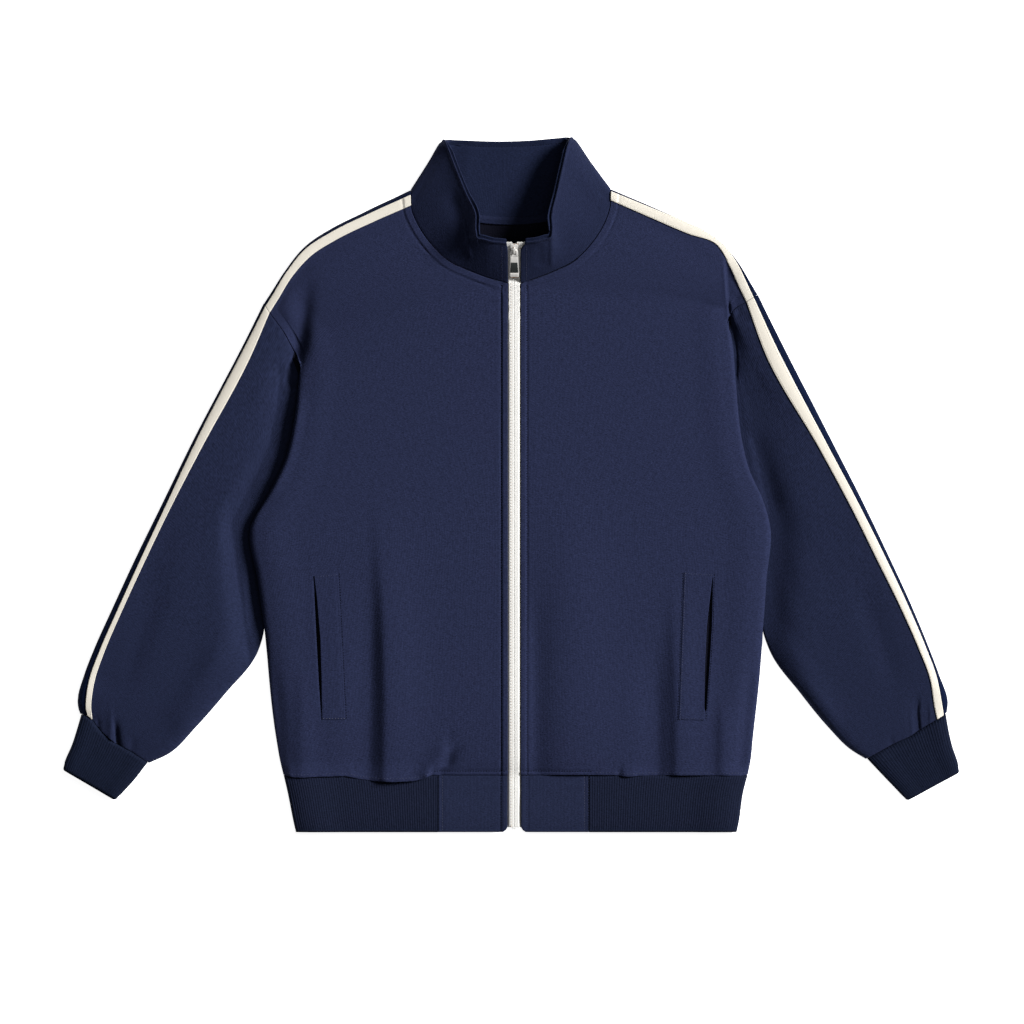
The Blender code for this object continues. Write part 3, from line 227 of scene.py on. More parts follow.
def rowShares(width):
    turn, steps = bodyCut["edgeWidth"] / width, bodyCut["rollSteps"]
    return ([share * (1 - turn) for share in bodyCut["frontMain"]]
            + [1 - turn * (1 - step / steps) for step in range(1, steps + 1)])


def frontGrid(side):
    shoulder = shoulderCut["shoulders"][side]
    grid = []
    for row in frontRows(side):
        inner, outer = (row["inX"], row["inY"]), (row["outX"], row["outY"])
        width = hypot(outer[0] - inner[0], outer[1] - inner[1])
        profile = [(share * (width - bodyCut["edgeWidth"]), None) for share in bodyCut["frontMain"]]
        profile += [(width - inward, height) for inward, height in
                    (rollProfile(row, step) for step in range(1, bodyCut["rollSteps"] + 1))]
        line = []
        for distance, height in profile:
            share = distance / width
            straight = mix(inner, outer, share)
            chord = mix(shoulder[0], shoulder[-1], share)
            bend = along(shoulder, min(1.0, share))
            x = straight[0] + (bend[0] - chord[0]) * row["bow"]
            y = straight[1] + (bend[1] - chord[1]) * row["bow"]
            if height is None:
                height = row["zEdge"] + (row["zIn"] - row["zEdge"]) * (1 - share * share)
            fall = roundOver(distanceTo((x, y), shoulder))
            line.append((x, y, bodyCut["shoulderTurn"] + (height - bodyCut["shoulderTurn"]) * fall))
        grid.append(line)
    width = pathLengths(shoulder)[-1]
    for nearPart, farPart, extra in shoulderCut["shoulderSteps"]:
        line = []
        for share in rowShares(width):
            near, far = stripeEdges(side, share)
            distance = near * nearPart + far * farPart + extra
            base = along(shoulder, share)
            heading, squareness = headingIn(side, share)
            reach = distance / squareness
            high = shoulderCut["shoulderHigh"] - shoulderCut["shoulderFall"] * share
            fall = roundOver(distance)
            line.append((base[0] + heading[0] * reach, base[1] + heading[1] * reach,
                         bodyCut["shoulderTurn"] + (high - bodyCut["shoulderTurn"]) * fall))
        grid.append(line)
    return grid


def armholePoints(side, grid):
    points = []
    for index in range(len(grid) - 1, bodyCut["armpitRow"] - 1, -1):
        if index in sleeveCut["skippedStations"]:
            continue
        if index >= len(bodyCut["frontRows"][side]):
            points.append((*grid[index][-1], 0.0))
            continue
        row = frontRows(side)[index]
        if index > bodyCut["foldEndRow"][side]:
            points.append((row["outX"], row["outY"], grid[index][-1][2], 0.0))
        elif index == bodyCut["foldEndRow"][side]:
            points.append((row["outX"], row["outY"], bodyCut["foldEndHeight"], 0.0))
        else:
            depth = bodyCut["armpitDepths"].get(index, 1.0)
            points.append((row["outX"], row["outY"], seamCut["tuckTop"], depth))
    return points


def seamMoved(points, middle, foldedDepth, openDepth):
    moved = []
    for index, (x, y, z, folded) in enumerate(points):
        before, after = points[max(0, index - 1)], points[min(len(points) - 1, index + 1)]
        dx, dy = after[0] - before[0], after[1] - before[1]
        length = hypot(dx, dy)
        nx, ny = -dy / length, dx / length
        if nx * middle < 0:
            nx, ny = -nx, -ny
        depth = foldedDepth * folded if folded else openDepth
        moved.append((x + nx * depth, y + ny * depth, z))
    return moved


backCut = {
    "backEdgeColumns": ("inset", "height"),
    "backEdges": ((0, 4.6), (0, 4.7), (0, 5.3), (1.5, 6.2), (4.8, 5), (7, 4.5)),
    "backOffsets": (0, 3, 12),
    "backMain": (0.11, 0.21, 0.3, 0.32, 0.4, 0.5, 0.6, 0.68, 0.7, 0.79, 0.89),
    "neckStart": 0.3,
    "neckline": ((-115.9, 338.7), (-112, 333), (-98, 320), (-59, 306.5), (-0.3, 299.6),
                (56.5, 306.5), (97, 321), (111.5, 334), (114.7, 339.8)),
}


def backTop(share):
    if share <= backCut["neckStart"]:
        return along(shoulderCut["shoulders"]["left"][::-1], share / backCut["neckStart"])
    if share < 1 - backCut["neckStart"]:
        return along(backCut["neckline"], (share - backCut["neckStart"]) / (1 - 2 * backCut["neckStart"]))
    return along(shoulderCut["shoulders"]["right"], (share - 1 + backCut["neckStart"]) / backCut["neckStart"])


def backGrid(fronts):
    ends = {}
    for side in outward:
        middle = -outward[side]
        rows = frontRows(side)
        sidePoints = []
        for row, edge in zip(rows, namedRows(backCut["backEdgeColumns"], backCut["backEdges"])):
            sidePoints.append((row["outX"] + middle * edge["inset"], row["outY"], edge["height"]))
        tuck = seamCut["tuckDepth"] - seamCut["seamGap"]
        arm = seamMoved(armholePoints(side, fronts[side]), middle, tuck, 0.0)
        sidePoints += [(x, y, 0.0) for x, y, _ in arm[::-1]]
        ends[side] = sidePoints
    count = len(ends["left"])
    grid = []
    for index in range(count):
        left, right = ends["left"][index], ends["right"][index]
        width = hypot(right[0] - left[0], right[1] - left[1])
        shares = [offset / width for offset in backCut["backOffsets"]] + list(backCut["backMain"])
        shares += [1 - offset / width for offset in backCut["backOffsets"][::-1]]
        bow = min(1.0, max(0.0, (index - bodyCut["armpitRow"]) / (count - 1 - bodyCut["armpitRow"])))
        line = []
        for share in shares:
            straight = mix(left, right, share)
            chord = mix(backTop(0.0), backTop(1.0), share)
            bend = backTop(share)
            x = straight[0] + (bend[0] - chord[0]) * bow
            y = straight[1] + (bend[1] - chord[1]) * bow
            edge = straight[2] if share in (0.0, 1.0) else (left[2] if share < 0.5 else right[2])
            sideRise = edge * (1 - roundOver(min(share, 1 - share) * width))
            shoulderGap = min(distanceTo((x, y), path) for path in shoulderCut["shoulders"].values())
            topRise = (bodyCut["shoulderTurn"] - seamCut["seamGap"]) * (1 - roundOver(shoulderGap))
            line.append((x, y, max(sideRise, topRise)))
        grid.append(line)
    return grid


sleeveCut = {
    "cloth": 1.8,
    "sleeveColumns": ("outX", "outY", "inX", "inY", "high", "turnOut", "turnIn", "zIn", "rise",
                      "near", "far"),
    "sleeveRows": {
        "left": (
            (-305, 167.3, -293.6, -60, 12.5, 6.5, 2.25, 4.5, 60, 1.8, 9.7),
            (-366.3, 50, -287.8, -105.2, 13.5, 6.5, 2.3, 4.6, 60, 3.4, 10.8),
            (-403.9, -27, -284.9, -137.4, 14, 6.5, 2.6, 5.2, 55, 5, 10.2),
            (-431.5, -83.4, -284.4, -167.3, 14.5, 6.5, 3.6, 7.2, 45, 6.2, 11.2),
            (-459.1, -143.2, -292.5, -194.3, 14.5, 6.5, 5.5, 11, 30, 6.6, 11.6),
            (-479.8, -189.2, -329.2, -240.9, 14.5, 6.5, 6.5, 13, 20, 7.1, 12.6),
            (-491.3, -219.1, -362.5, -278.9, 14, 6.5, 6.5, 13, 20, 7.6, 13.8),
            (-498.8, -247.8, -392.4, -308.8, 12.5, 6, 6, 12, 20, 9.2, 14.9),
            (-497.1, -266.8, -416.6, -320.3, 10.8, 5.3, 5.3, 10.4, 20, 7.4, 12.6),
        ),
        "right": (
            (304.5, 176.5, 292.4, -60, 12.5, 6.5, 2.25, 4.5, 60, 5, 15.8),
            (367.7, 52.3, 288.2, -105.2, 13.5, 6.5, 2.3, 4.6, 60, 6, 13.9),
            (405.7, -22.4, 288, -137.4, 14, 6.5, 2.6, 5.2, 55, 5.4, 13.9),
            (432.1, -77.6, 288.9, -165, 14.5, 6.5, 3.6, 7.2, 45, 4.8, 14.1),
            (459.7, -137.4, 298, -192.5, 14.5, 6.5, 5.5, 11, 30, 4.5, 13),
            (479.3, -184.6, 332.1, -239.5, 14.5, 6.5, 6.5, 13, 20, 4, 11.8),
            (491.9, -217.9, 365.4, -280, 14, 6.5, 6.5, 13, 20, 4.2, 11.8),
            (502.3, -251.3, 389.6, -304.2, 12.5, 6, 6, 12, 20, 6.8, 14.6),
            (501.1, -263.9, 408, -315.7, 10.8, 5.3, 5.3, 10.4, 20, 4, 10.8),
        ),
    },
    "armholeHeights": {"high": 12.5, "turnOut": 6.5, "turnIn": 2.25, "rise": 60},
    "skippedStations": (14, 16),
    "sleeveBow": (1, 0.8, 0.35, 0.15, 0.05, 0, 0, 0, 0, 0),
    "sleeveBlend": (1, 0.3, 0, 0, 0, 0, 0, 0, 0, 0),
    "foldRise": 42,
    "innerCurl": 3,
    "innerSteps": (1, 0.55, 0.18, 0),
    "curlSpread": 1.6,
}


def besideBody(side, x, y, high):
    edge = [(row["outX"], row["outY"]) for row in frontRows(side)[2:bodyCut["foldEndRow"][side] + 1]]
    edgeX = edge[0][0] if y < edge[0][1] else edge[-1][0]
    for start, end in zip(edge, edge[1:]):
        if start[1] <= y <= end[1]:
            edgeX = mix(start, end, (y - start[1]) / (end[1] - start[1]))[0]
    under = abs(x) < abs(edgeX) and edge[0][1] <= y <= edge[-1][1]
    away = 0.0 if under else distanceTo((x, y), edge)
    return seamCut["tuckTop"] + (high - seamCut["tuckTop"]) * smoothStep(away / sleeveCut["foldRise"])


def sleeveGrid(side, armhole):
    middle = -outward[side]
    tuck = seamCut["tuckDepth"] - seamCut["seamGap"] - seamCut["buttGap"]
    start = seamMoved(armhole, middle, tuck, -seamCut["buttGap"])
    lengths = pathLengths(start)
    total = lengths[-1]
    stripeSteps = len(shoulderCut["shoulderSteps"])
    clear = total - lengths[stripeSteps - 1] - sleeveCut["innerCurl"]
    middleShares = [(length - lengths[stripeSteps - 1]) / clear for length in lengths[stripeSteps:-1]]
    topStart, end = start[:-1], start[-1]
    innerCurl = sleeveCut["innerCurl"]
    curl = innerCurl / total
    tail = [along(start, 1 - curl * step) for step in sleeveCut["innerSteps"]]
    lowEnd = sleeveCut["armholeHeights"]["turnIn"]
    topStart += [(x, y, lowEnd + (seamCut["tuckTop"] - lowEnd) * roundOver(step * innerCurl, innerCurl))
                 for (x, y, _), step in zip(tail, sleeveCut["innerSteps"])]
    rows = [dict(sleeveCut["armholeHeights"], outX=start[0][0], outY=start[0][1], inX=end[0], inY=end[1],
                 zIn=seamCut["tuckTop"])]
    rows += namedRows(sleeveCut["sleeveColumns"], sleeveCut["sleeveRows"][side])
    grid = []
    for index, row in enumerate(rows):
        outer, inner = (row["outX"], row["outY"]), (row["inX"], row["inY"])
        width = hypot(inner[0] - outer[0], inner[1] - outer[1])
        direction = ((inner[0] - outer[0]) / width, (inner[1] - outer[1]) / width)
        if index:
            nearby = rows[index + 1] if index + 1 < len(rows) else rows[index - 1]
            edge = (nearby["outX"] - outer[0], nearby["outY"] - outer[1])
            squareness = abs(direction[0] * edge[1] - direction[1] * edge[0]) / hypot(*edge)
            near, far = row["near"] / squareness, row["far"] / squareness
            offsets = [near * a + far * b + c for a, b, c in shoulderCut["shoulderSteps"][::-1]]
        else:
            squareness = 1.0
            offsets = lengths[:stripeSteps]
        turnIn = min(row["turnIn"], besideBody(side, *inner, row["high"]) / 2)
        curlIn = sleeveCut["curlSpread"] * turnIn
        clear = width - offsets[-1] - curlIn
        positions = offsets + [offsets[-1] + share * clear for share in middleShares]
        positions += [width - curlIn * step for step in sleeveCut["innerSteps"]]
        top, bottom = [], []
        for column, position in enumerate(positions):
            share = position / width
            x, y = outer[0] + direction[0] * position, outer[1] + direction[1] * position
            fromInner = width - position
            bow = sleeveCut["sleeveBow"][index]
            if index and bow:
                seam = topStart[column]
                partWay = shareAt(topStart, column)
                chord = mix(topStart[0], topStart[-1], partWay)
                x += (seam[0] - chord[0]) * bow * (1 - partWay * partWay)
                y += (seam[1] - chord[1]) * bow * (1 - partWay * partWay)
            sideHeight = row["zIn"] + (row["high"] - row["zIn"]) * smoothStep(fromInner / row["rise"])
            sideHeight = min(sideHeight, besideBody(side, x, y, row["high"]))
            fallOut = roundOver(position * squareness)
            height = row["turnOut"] + (sideHeight - row["turnOut"]) * fallOut
            fallIn = roundOver(fromInner, curlIn)
            if fromInner < curlIn:
                height = turnIn + (sideHeight - turnIn) * fallIn
            low = row["turnOut"] * (1 - fallOut) + turnIn * (1 - fallIn)
            blend = sleeveCut["sleeveBlend"][index]
            height += (topStart[column][2] - height) * blend
            if index == 0:
                x, y = topStart[column][:2]
            top.append((x, y, height))
            bottom.append((x, y, low))
        grid.append(top + bottom[-2:0:-1])
    return grid


cuffCut = {
    "cloth": 2.2,
    "cuffColumns": ("outX", "outY", "inX", "inY", "high"),
    "cuffRows": {
        "left": ((-496.1, -267.9, -418, -319.8, 10.2), (-504.6, -297.5, -433.8, -339.8, 10.4),
                 (-512.8, -317, -447.5, -354.5, 10.4), (-515.1, -325.2, -453.6, -361.2, 9.6)),
        "right": ((500, -265, 409.5, -315.4, 10.2), (506.9, -299.6, 429.8, -336.4, 10.4),
                  (513.2, -319, 446, -353, 10.4), (515.1, -328.2, 453.6, -361.6, 9.6)),
    },
    "cuffOffsets": (0, 0.7, 2.4, 6),
    "cuffMain": (0.3, 0.5, 0.7),
}


def cuffGrid(side):
    grid = []
    for row in namedRows(cuffCut["cuffColumns"], cuffCut["cuffRows"][side]):
        outer, inner = (row["outX"], row["outY"]), (row["inX"], row["inY"])
        width = hypot(inner[0] - outer[0], inner[1] - outer[1])
        positions = list(cuffCut["cuffOffsets"]) + [width * share for share in cuffCut["cuffMain"]]
        positions += [width - offset for offset in cuffCut["cuffOffsets"][::-1]]
        turn = row["high"] / 2
        top, bottom = [], []
        for position in positions:
            share = position / width
            x, y = mix(outer, inner, share)
            fall = roundOver(min(position, width - position), cuffCut["cuffOffsets"][-1])
            top.append((x, y, turn + turn * fall))
            bottom.append((x, y, turn - turn * fall))
        grid.append(top + bottom[-2:0:-1])
    return grid


hemCut = {
    "tabCloth": 2.4,
    "hemColumns": ("leftX", "rightX", "y", "high"),
    "hemRows": ((-261.9, 272, -334.4, 9.8), (-258, 267.6, -351, 10.4), (-249.2, 260.8, -394, 10.4),
                (-247.8, 259.4, -399.8, 9.6)),
    "hemOffsets": (0, 0.7, 2.4, 6),
    "hemFront": (0, 0.33, 0.67),
    "hemBack": (0.1, 0.25, 0.4, 0.6, 0.75, 0.9),
    "tabEnds": {"left": (-84.2, -4.3), "right": (11.2, 89.4)},
    "tabSteps": (0, 0.5, 1),
}


def hemGrid():
    offsets = hemCut["hemOffsets"]
    leftEnd = hemCut["tabEnds"]["left"][0] - seamCut["buttGap"]
    rightEnd = hemCut["tabEnds"]["right"][1] + seamCut["buttGap"]
    grid = []
    for row in namedRows(hemCut["hemColumns"], hemCut["hemRows"]):
        left, right, high = row["leftX"], row["rightX"], row["high"]
        turn = high / 2
        # over the fold at a side, from the front to the back
        fold = [(offset, turn + turn * roundOver(offset, offsets[-1])) for offset in offsets[::-1]]
        fold += [(offset, turn - turn * roundOver(offset, offsets[-1])) for offset in offsets[1:]]
        line = [(leftEnd + (left + offsets[-1] - leftEnd) * share, high) for share in hemCut["hemFront"]]
        line += [(left + offset, z) for offset, z in fold]
        line += [(left + (right - left) * share, 0.0) for share in hemCut["hemBack"]]
        line += [(right - offset, z) for offset, z in fold[::-1]]
        line += [(right - offsets[-1] + (rightEnd - right + offsets[-1]) * (1 - part), high)
                 for part in hemCut["hemFront"][::-1]]
        grid.append([(x, row["y"], z) for x, z in line])
    return grid


def tabGrid(side):
    start, end = hemCut["tabEnds"][side]
    return [[(start + (end - start) * share, row["y"], row["high"]) for share in hemCut["tabSteps"]]
            for row in namedRows(hemCut["hemColumns"], hemCut["hemRows"])]


collarCut = {
    "cloth": 1.5,
    "collarTops": {
        "left": ((-4.1, 276.6, 48), (-30, 281.2, 49), (-38.4, 288.5, 48.5), (-40.5, 310, 46),
                 (-50.9, 333, 41), (-63.5, 364, 34), (-69.5, 379, 29), (-73.5, 388, 24),
                 (-76, 393, 19.5), (-77.5, 395.5, 16), (-78.3, 396.7, 13), (-78.6, 396.9, 10),
                 (-75.5, 395.9, 4.5), (-41, 393.3, 0), (-3.7, 392.7, 0)),
        "right": ((10.9, 277.2, 48), (36.5, 281.3, 49), (44.8, 288.3, 48.5), (45.8, 308.5, 46),
                  (51.5, 333, 41), (58.4, 364, 34), (62.2, 380, 29), (65.2, 390, 24),
                  (67.3, 395.5, 19.5), (68.8, 398.2, 16), (69.7, 399.5, 13), (70, 399.8, 10),
                  (67.5, 398.9, 4.5), (35, 394.8, 0), (-3.7, 392.7, 0)),
    },
    "collarRise": (0, 0.5, 1),
    "collarGap": 0.5,
    "collarEdgeStart": (230.9, 20),
}


def collarGrid(fronts, back):
    first = len(bodyCut["frontRows"]["left"]) - bodyCut["neckRows"]
    topRow = back[-1]
    shares = backCut["backOffsets"] + backCut["backMain"]
    leftCorner = shares.index(backCut["neckStart"])
    rightCorner = shares.index(1 - backCut["neckStart"])
    centre = shares.index(0.5)
    neckLeft = [row[0] for row in fronts["left"][first:]] + topRow[leftCorner + 1:centre + 1]
    neckRight = [row[0] for row in fronts["right"][first:]] + topRow[centre:rightCorner][::-1]
    seams = neckLeft + neckRight[-2::-1]
    tops = list(collarCut["collarTops"]["left"]) + list(collarCut["collarTops"]["right"])[-2::-1]
    grid = []
    for rise in collarCut["collarRise"]:
        line = []
        for seam, top in zip(seams, tops):
            way = Vector(top) - Vector(seam)
            start = Vector(seam) + way.normalized() * collarCut["collarGap"]
            line.append(tuple(start.lerp(Vector(top), rise)))
        grid.append(line)
    return grid


pocketCut = {
    "pockets": {
        "left": {
            "slitOut": ((-226.6, -108), (-226.2, -128), (-223.8, -178.8), (-221.2, -225),
                         (-218.6, -264)),
            "slitIn": ((-225.9, -108), (-223.6, -128), (-219.4, -178.8), (-218.1, -225),
                        (-217.9, -264)),
            "top": ((-226.5, -105), (-199, -101.8)),
            "bottom": ((-217.4, -270.2), (-190.7, -270.2)),
        },
        "right": {
            "slitOut": ((231.2, -107), (230.9, -128), (230.2, -161.6), (227, -215), (223.6, -264)),
            "slitIn": ((230.4, -107), (228.6, -128), (224.8, -161.6), (222.2, -215), (222, -264)),
            "top": ((231.5, -102.5), (198.7, -100.6)),
            "bottom": ((221.8, -270.8), (192.6, -270)),
        },
    },
    "bagCloth": 1,
    "bagWidth": 120,
    "bagLength": 185,
    "bagBehind": 8,
    "bagAbove": 12,
    "bagDrop": 0.5,
}


zipCut = {
    "cloth": 0.9,
    "zipX": 3.4,
    "tapeReach": 16.5,
    "collarTapeReach": 8.6,
    "collarTapeDrop": 0.75,
    "neckSeamY": 231,
    "collarTapeYs": (234, 250, 262, 270.5, 273.5, 277),
    "tapeSplit": 0.2,
    "openSpread": 1.9,
    "openFromY": 272.1,
}


def edgePath(front):
    hem = namedRows(hemCut["hemColumns"], hemCut["hemRows"])
    path = [(row["y"], row["high"], hemCut["tabCloth"]) for row in hem[-2::-1]]
    for row in front[1:len(bodyCut["frontRows"]["left"]) - bodyCut["neckRows"] + 1]:
        path.append((row[0][1], row[0][2], bodyCut["cloth"]))
    return path


def collarSlope():
    start = Vector(collarCut["collarEdgeStart"])
    top = collarCut["collarTops"]["left"][0]
    return start, (Vector((top[1], top[2])) - start).normalized()


def tapeLine(front):
    line = [(y, z - clothAbove - seamCut["seamGap"]) for y, z, clothAbove in edgePath(front)[:-1]]
    start, slope = collarSlope()
    drop = 2 * collarCut["cloth"] + collarCut["collarGap"] + zipCut["collarTapeDrop"]
    below = Vector((slope.y, -slope.x)) * drop
    for y in zipCut["collarTapeYs"]:
        distance = (y - start.x - below.x) / slope.x
        point = start + below + slope * distance
        line.append((point.x, point.y))
    return line


def tapeGrid(side, front):
    out = outward[side]
    grid = []
    for y, z in tapeLine(front):
        split = zipCut["openSpread"] if y > zipCut["openFromY"] else zipCut["tapeSplit"]
        reach = zipCut["tapeReach"] if y < zipCut["neckSeamY"] else zipCut["collarTapeReach"]
        grid.append([(zipCut["zipX"] + out * split, y, z), (zipCut["zipX"] + out * reach, y, z)])
    return grid


# Main folds and soft hollows: a path from its lower end to its upper one, the height it adds, its reach
# to the left and right of the path, and the share of its length over which each end fades.
foldColumns = ("path", "lift", "left", "right", "fadeLow", "fadeHigh")
rightFold = ((253.5, 160.4), (250.4, 200.7), (248.1, 224.8), (247, 249), (244.7, 267.4))
besideFold = ((-1.8, 9), (-2, 18), (-3.2, 60))  # the lifts and reaches that add up beside it
armholeRise = (((253.3, 177.7), (253.3, 198.4), (251.6, 216.8)), 3.4, 1.2, 6, 0.25, 0.3)
bodyFolds = (
    (((-286.6, -23.6), (-275.1, -2.9), (-259.6, 30.5), (-252.1, 62.7), (-246.4, 93.7), (-244.1, 113.3)),
     3.6, 12, 10, 0.25, 0.25),
    (((-144, -330.6), (-142.9, -247.8), (-145.2, -155.8), (-150.9, -63.8), (-155.5, 5.2)),
     4.4, 8, 34, 0, 0.6),
    (((-164.7, -330.6), (-162.4, -247.8), (-162.4, -155.8), (-164.7, -63.8)), -3, 24, 8, 0, 0.6),
    (((-99.2, -337.5), (-92.3, -326), (-78.5, -312.2), (-68.1, -299.6), (-61.2, -286.9)),
     3.4, 10, 1.6, 0.1, 0.45),
    (((-85.4, -335.2), (-77.3, -320.3), (-65.8, -305.3), (-58.9, -291.5)), -2.4, 1.8, 9, 0.1, 0.5),
    (((-73.9, -326), (-71.6, -299.6), (-68.1, -276.6)), -2, 6, 6, 0.1, 0.5),
    (((-240.6, -328.3), (-239.5, -247.8), (-237.2, -190.3)), 1.6, 8, 16, 0, 0.5),
    (((-264.8, -328.3), (-269.4, -247.8), (-277.4, -178.8)), -2, 8, 8, 0, 0.5),
    (((-255.6, 127.1), (-248.7, 143.2), (-244.1, 157), (-241.2, 171.9), (-238.3, 198.4), (-234.9, 223.7),
      (-230.3, 253.6)), -8.6, 13, 9, 0, 0.75),
    armholeRise,
    *((rightFold, lift, 1, reach, 0, 0.3) for lift, reach in besideFold),
    (((252.7, 160.4), (249.8, 200.7), (247.5, 224.8), (245.8, 249), (243.5, 267.4)), 1, 3, 1.2, 0, 0.3),
    (((191.8, -330.6), (190.6, -247.8), (187.2, -155.8), (182.6, -86.8)), 3.8, 8, 30, 0, 0.6),
    (((168.8, -330.6), (167.6, -247.8), (164.2, -155.8)), -2.8, 20, 8, 0, 0.6),
    (((69.9, -330.6), (69.9, -190.3), (63, -63.8), (56.1, 39.7)), 3.2, 34, 44, 0, 0.5),
    (((28.5, -328.3), (28.5, -190.3), (26.2, -86.8)), -2.2, 8, 14, 0, 0.5),
    (((123.9, -335.2), (125.1, -319.1)), -2.2, 2.5, 2.5, 0, 0.7),
    (((242.4, -328.3), (242.4, -236.3)), 2, 6, 12, 0, 0.5),
    (((265.4, -328.3), (272.3, -247.8), (281.5, -178.8)), -2, 8, 8, 0, 0.5),
)
sleeveFolds = (
    (((-300.4, -196.1), (-295.8, -132.8), (-291.2, -75.3)), -3.6, 12, 10, 0.3, 0.3),
    (((-459.1, -293.8), (-459.1, -268.5), (-458.6, -247.8)), 1.1, 5, 1, 0, 0.6),
    (((-452.2, -300.7), (-454.5, -284.6), (-456.8, -266.2)), -4.6, 1, 4, 0, 0.6),
    (((-437.3, -306.5), (-433.8, -284.6)), -0.8, 3, 5, 0, 0.6),
    (((-476.4, -247.8), (-455.7, -178.8), (-402.8, -63.8), (-357.9, 33.9)), -2.4, 30, 24, 0.1, 0.5),
    (((-253.3, 106.4), (-249.8, 134), (-246.4, 154.7), (-241.8, 171.9)), -6.6, 12, 10, 0.25, 0),
    armholeRise,
    *((((260.1, 104.1), *rightFold[:3]), lift, 1, reach, 0.4, 0) for lift, reach in besideFold),
    (((-475.2, -288.1), (-476.4, -266.2)), -1.2, 3, 3, 0, 0.6),
    (((-392.4, -293.8), (-340.7, -201.8), (-311.9, -144.3)), 2.4, 16, 16, 0.2, 0.4),
    (((-449.9, -247.8), (-426.9, -178.8), (-392.4, -86.8)), -1.8, 14, 14, 0.3, 0.4),
    (((470.1, -288.1), (467.8, -261.6), (469.5, -236.3)), -2, 9, 1, 0, 0.5),
    (((459.7, -293.8), (459.7, -270.8), (459.7, -250.1)), 0.7, 1.2, 4, 0, 0.5),
    (((481.6, -280), (481, -261.6), (480.4, -245.5)), 0.7, 1.2, 3, 0, 0.5),
    (((456.3, -297.3), (460.9, -288.1)), -2.8, 2, 3, 0, 0.5),
    (((439, -303), (436.7, -286.9)), -0.7, 4, 2, 0, 0.6),
    (((378.1, -288.1), (332.1, -213.3), (303.3, -167.3)), 2, 14, 14, 0.2, 0.4),
    (((447.1, -247.8), (424.1, -178.8), (389.6, -86.8)), -1.4, 14, 14, 0.3, 0.4),
    (((299.9, -40.8), (288.4, 16.7), (274.6, 74.2)), -2, 6, 16, 0.2, 0.3),
)
collarFolds = (
    (((-47.4, 277.7), (-57.8, 309.9), (-70.4, 344.4)), -2.8, 11, 5, 0.1, 0.3),
    (((-46.3, 255.9), (-50.3, 281.2), (-56.1, 309.9)), 2, 1.8, 1.8, 0.2, 0.2),
    (((45.7, 246.7), (45.7, 269.7), (45.7, 290.4)), 2.2, 1.6, 3, 0.2, 0.1),
    (((33.1, 249), (33.1, 275.4)), -1.4, 6, 5, 0.2, 0.2),
    (((-34.8, 292.7), (-50.9, 332.9), (-75, 390.4)), -6.6, 36, 6, 0.3, 0.12),
)


def softStep(values):
    values = np.clip(values, 0.0, 1.0)
    return values * values * (3 - 2 * values)


def nearest(x, y, path):
    # distance to a plan path, the side of it (1 left, -1 right) and the share of the way along it
    path = np.asarray(path, float)
    steps = np.diff(path, axis=0)
    lengths = np.hypot(steps[:, 0], steps[:, 1])
    starts = np.concatenate([[0.0], np.cumsum(lengths)])
    best, side, share = np.full(x.shape, np.inf), np.ones(x.shape), np.zeros(x.shape)
    for (startX, startY), (stepX, stepY), length, start in zip(path, steps, lengths, starts):
        part = np.clip(((x - startX) * stepX + (y - startY) * stepY) / (length * length), 0, 1)
        offX, offY = x - startX - part * stepX, y - startY - part * stepY
        distance = np.hypot(offX, offY)
        closer = distance < best
        best = np.where(closer, distance, best)
        side = np.where(closer, np.where(stepX * offY - stepY * offX > 0, 1, -1), side)
        share = np.where(closer, (start + part * length) / starts[-1], share)
    return best, side, share


def foldLift(x, y, folds):
    lift = np.zeros(x.shape)
    for fold in namedRows(foldColumns, folds):
        distance, side, share = nearest(x, y, fold["path"])
        reach = np.where(side > 0, fold["left"], fold["right"])
        low = softStep(share / fold["fadeLow"]) if fold["fadeLow"] else 1.0
        high = softStep((1 - share) / fold["fadeHigh"]) if fold["fadeHigh"] else 1.0
        lift += fold["lift"] * np.exp(-(distance / reach) ** 2) * low * high
    return lift


def parted(points):
    # a grid's x, y and z, as views on it
    return np.moveaxis(points, 2, 0)


def nearness(points, x, y, reach):
    # 1 at a place in plan, fading over its reach
    xs, ys, _ = parted(points)
    return np.exp(-((xs - x) ** 2 + (ys - y) ** 2) / reach ** 2)


def pulled(points, pulls):
    # the points near each place move along
    for x, y, moveX, moveY, reach in pulls:
        near = nearness(points, x, y, reach)
        points[:, :, 0] += moveX * near
        points[:, :, 1] += moveY * near
    return points


def levelled(values):
    # each inner value becomes the mean of the four around it
    level = values.copy()
    level[1:-1, 1:-1] = (values[:-2, 1:-1] + values[2:, 1:-1] + values[1:-1, :-2] + values[1:-1, 2:]) / 4
    return level


smoothing = {"cornerFrom": cos(radians(42)), "cornerFull": cos(radians(60))}


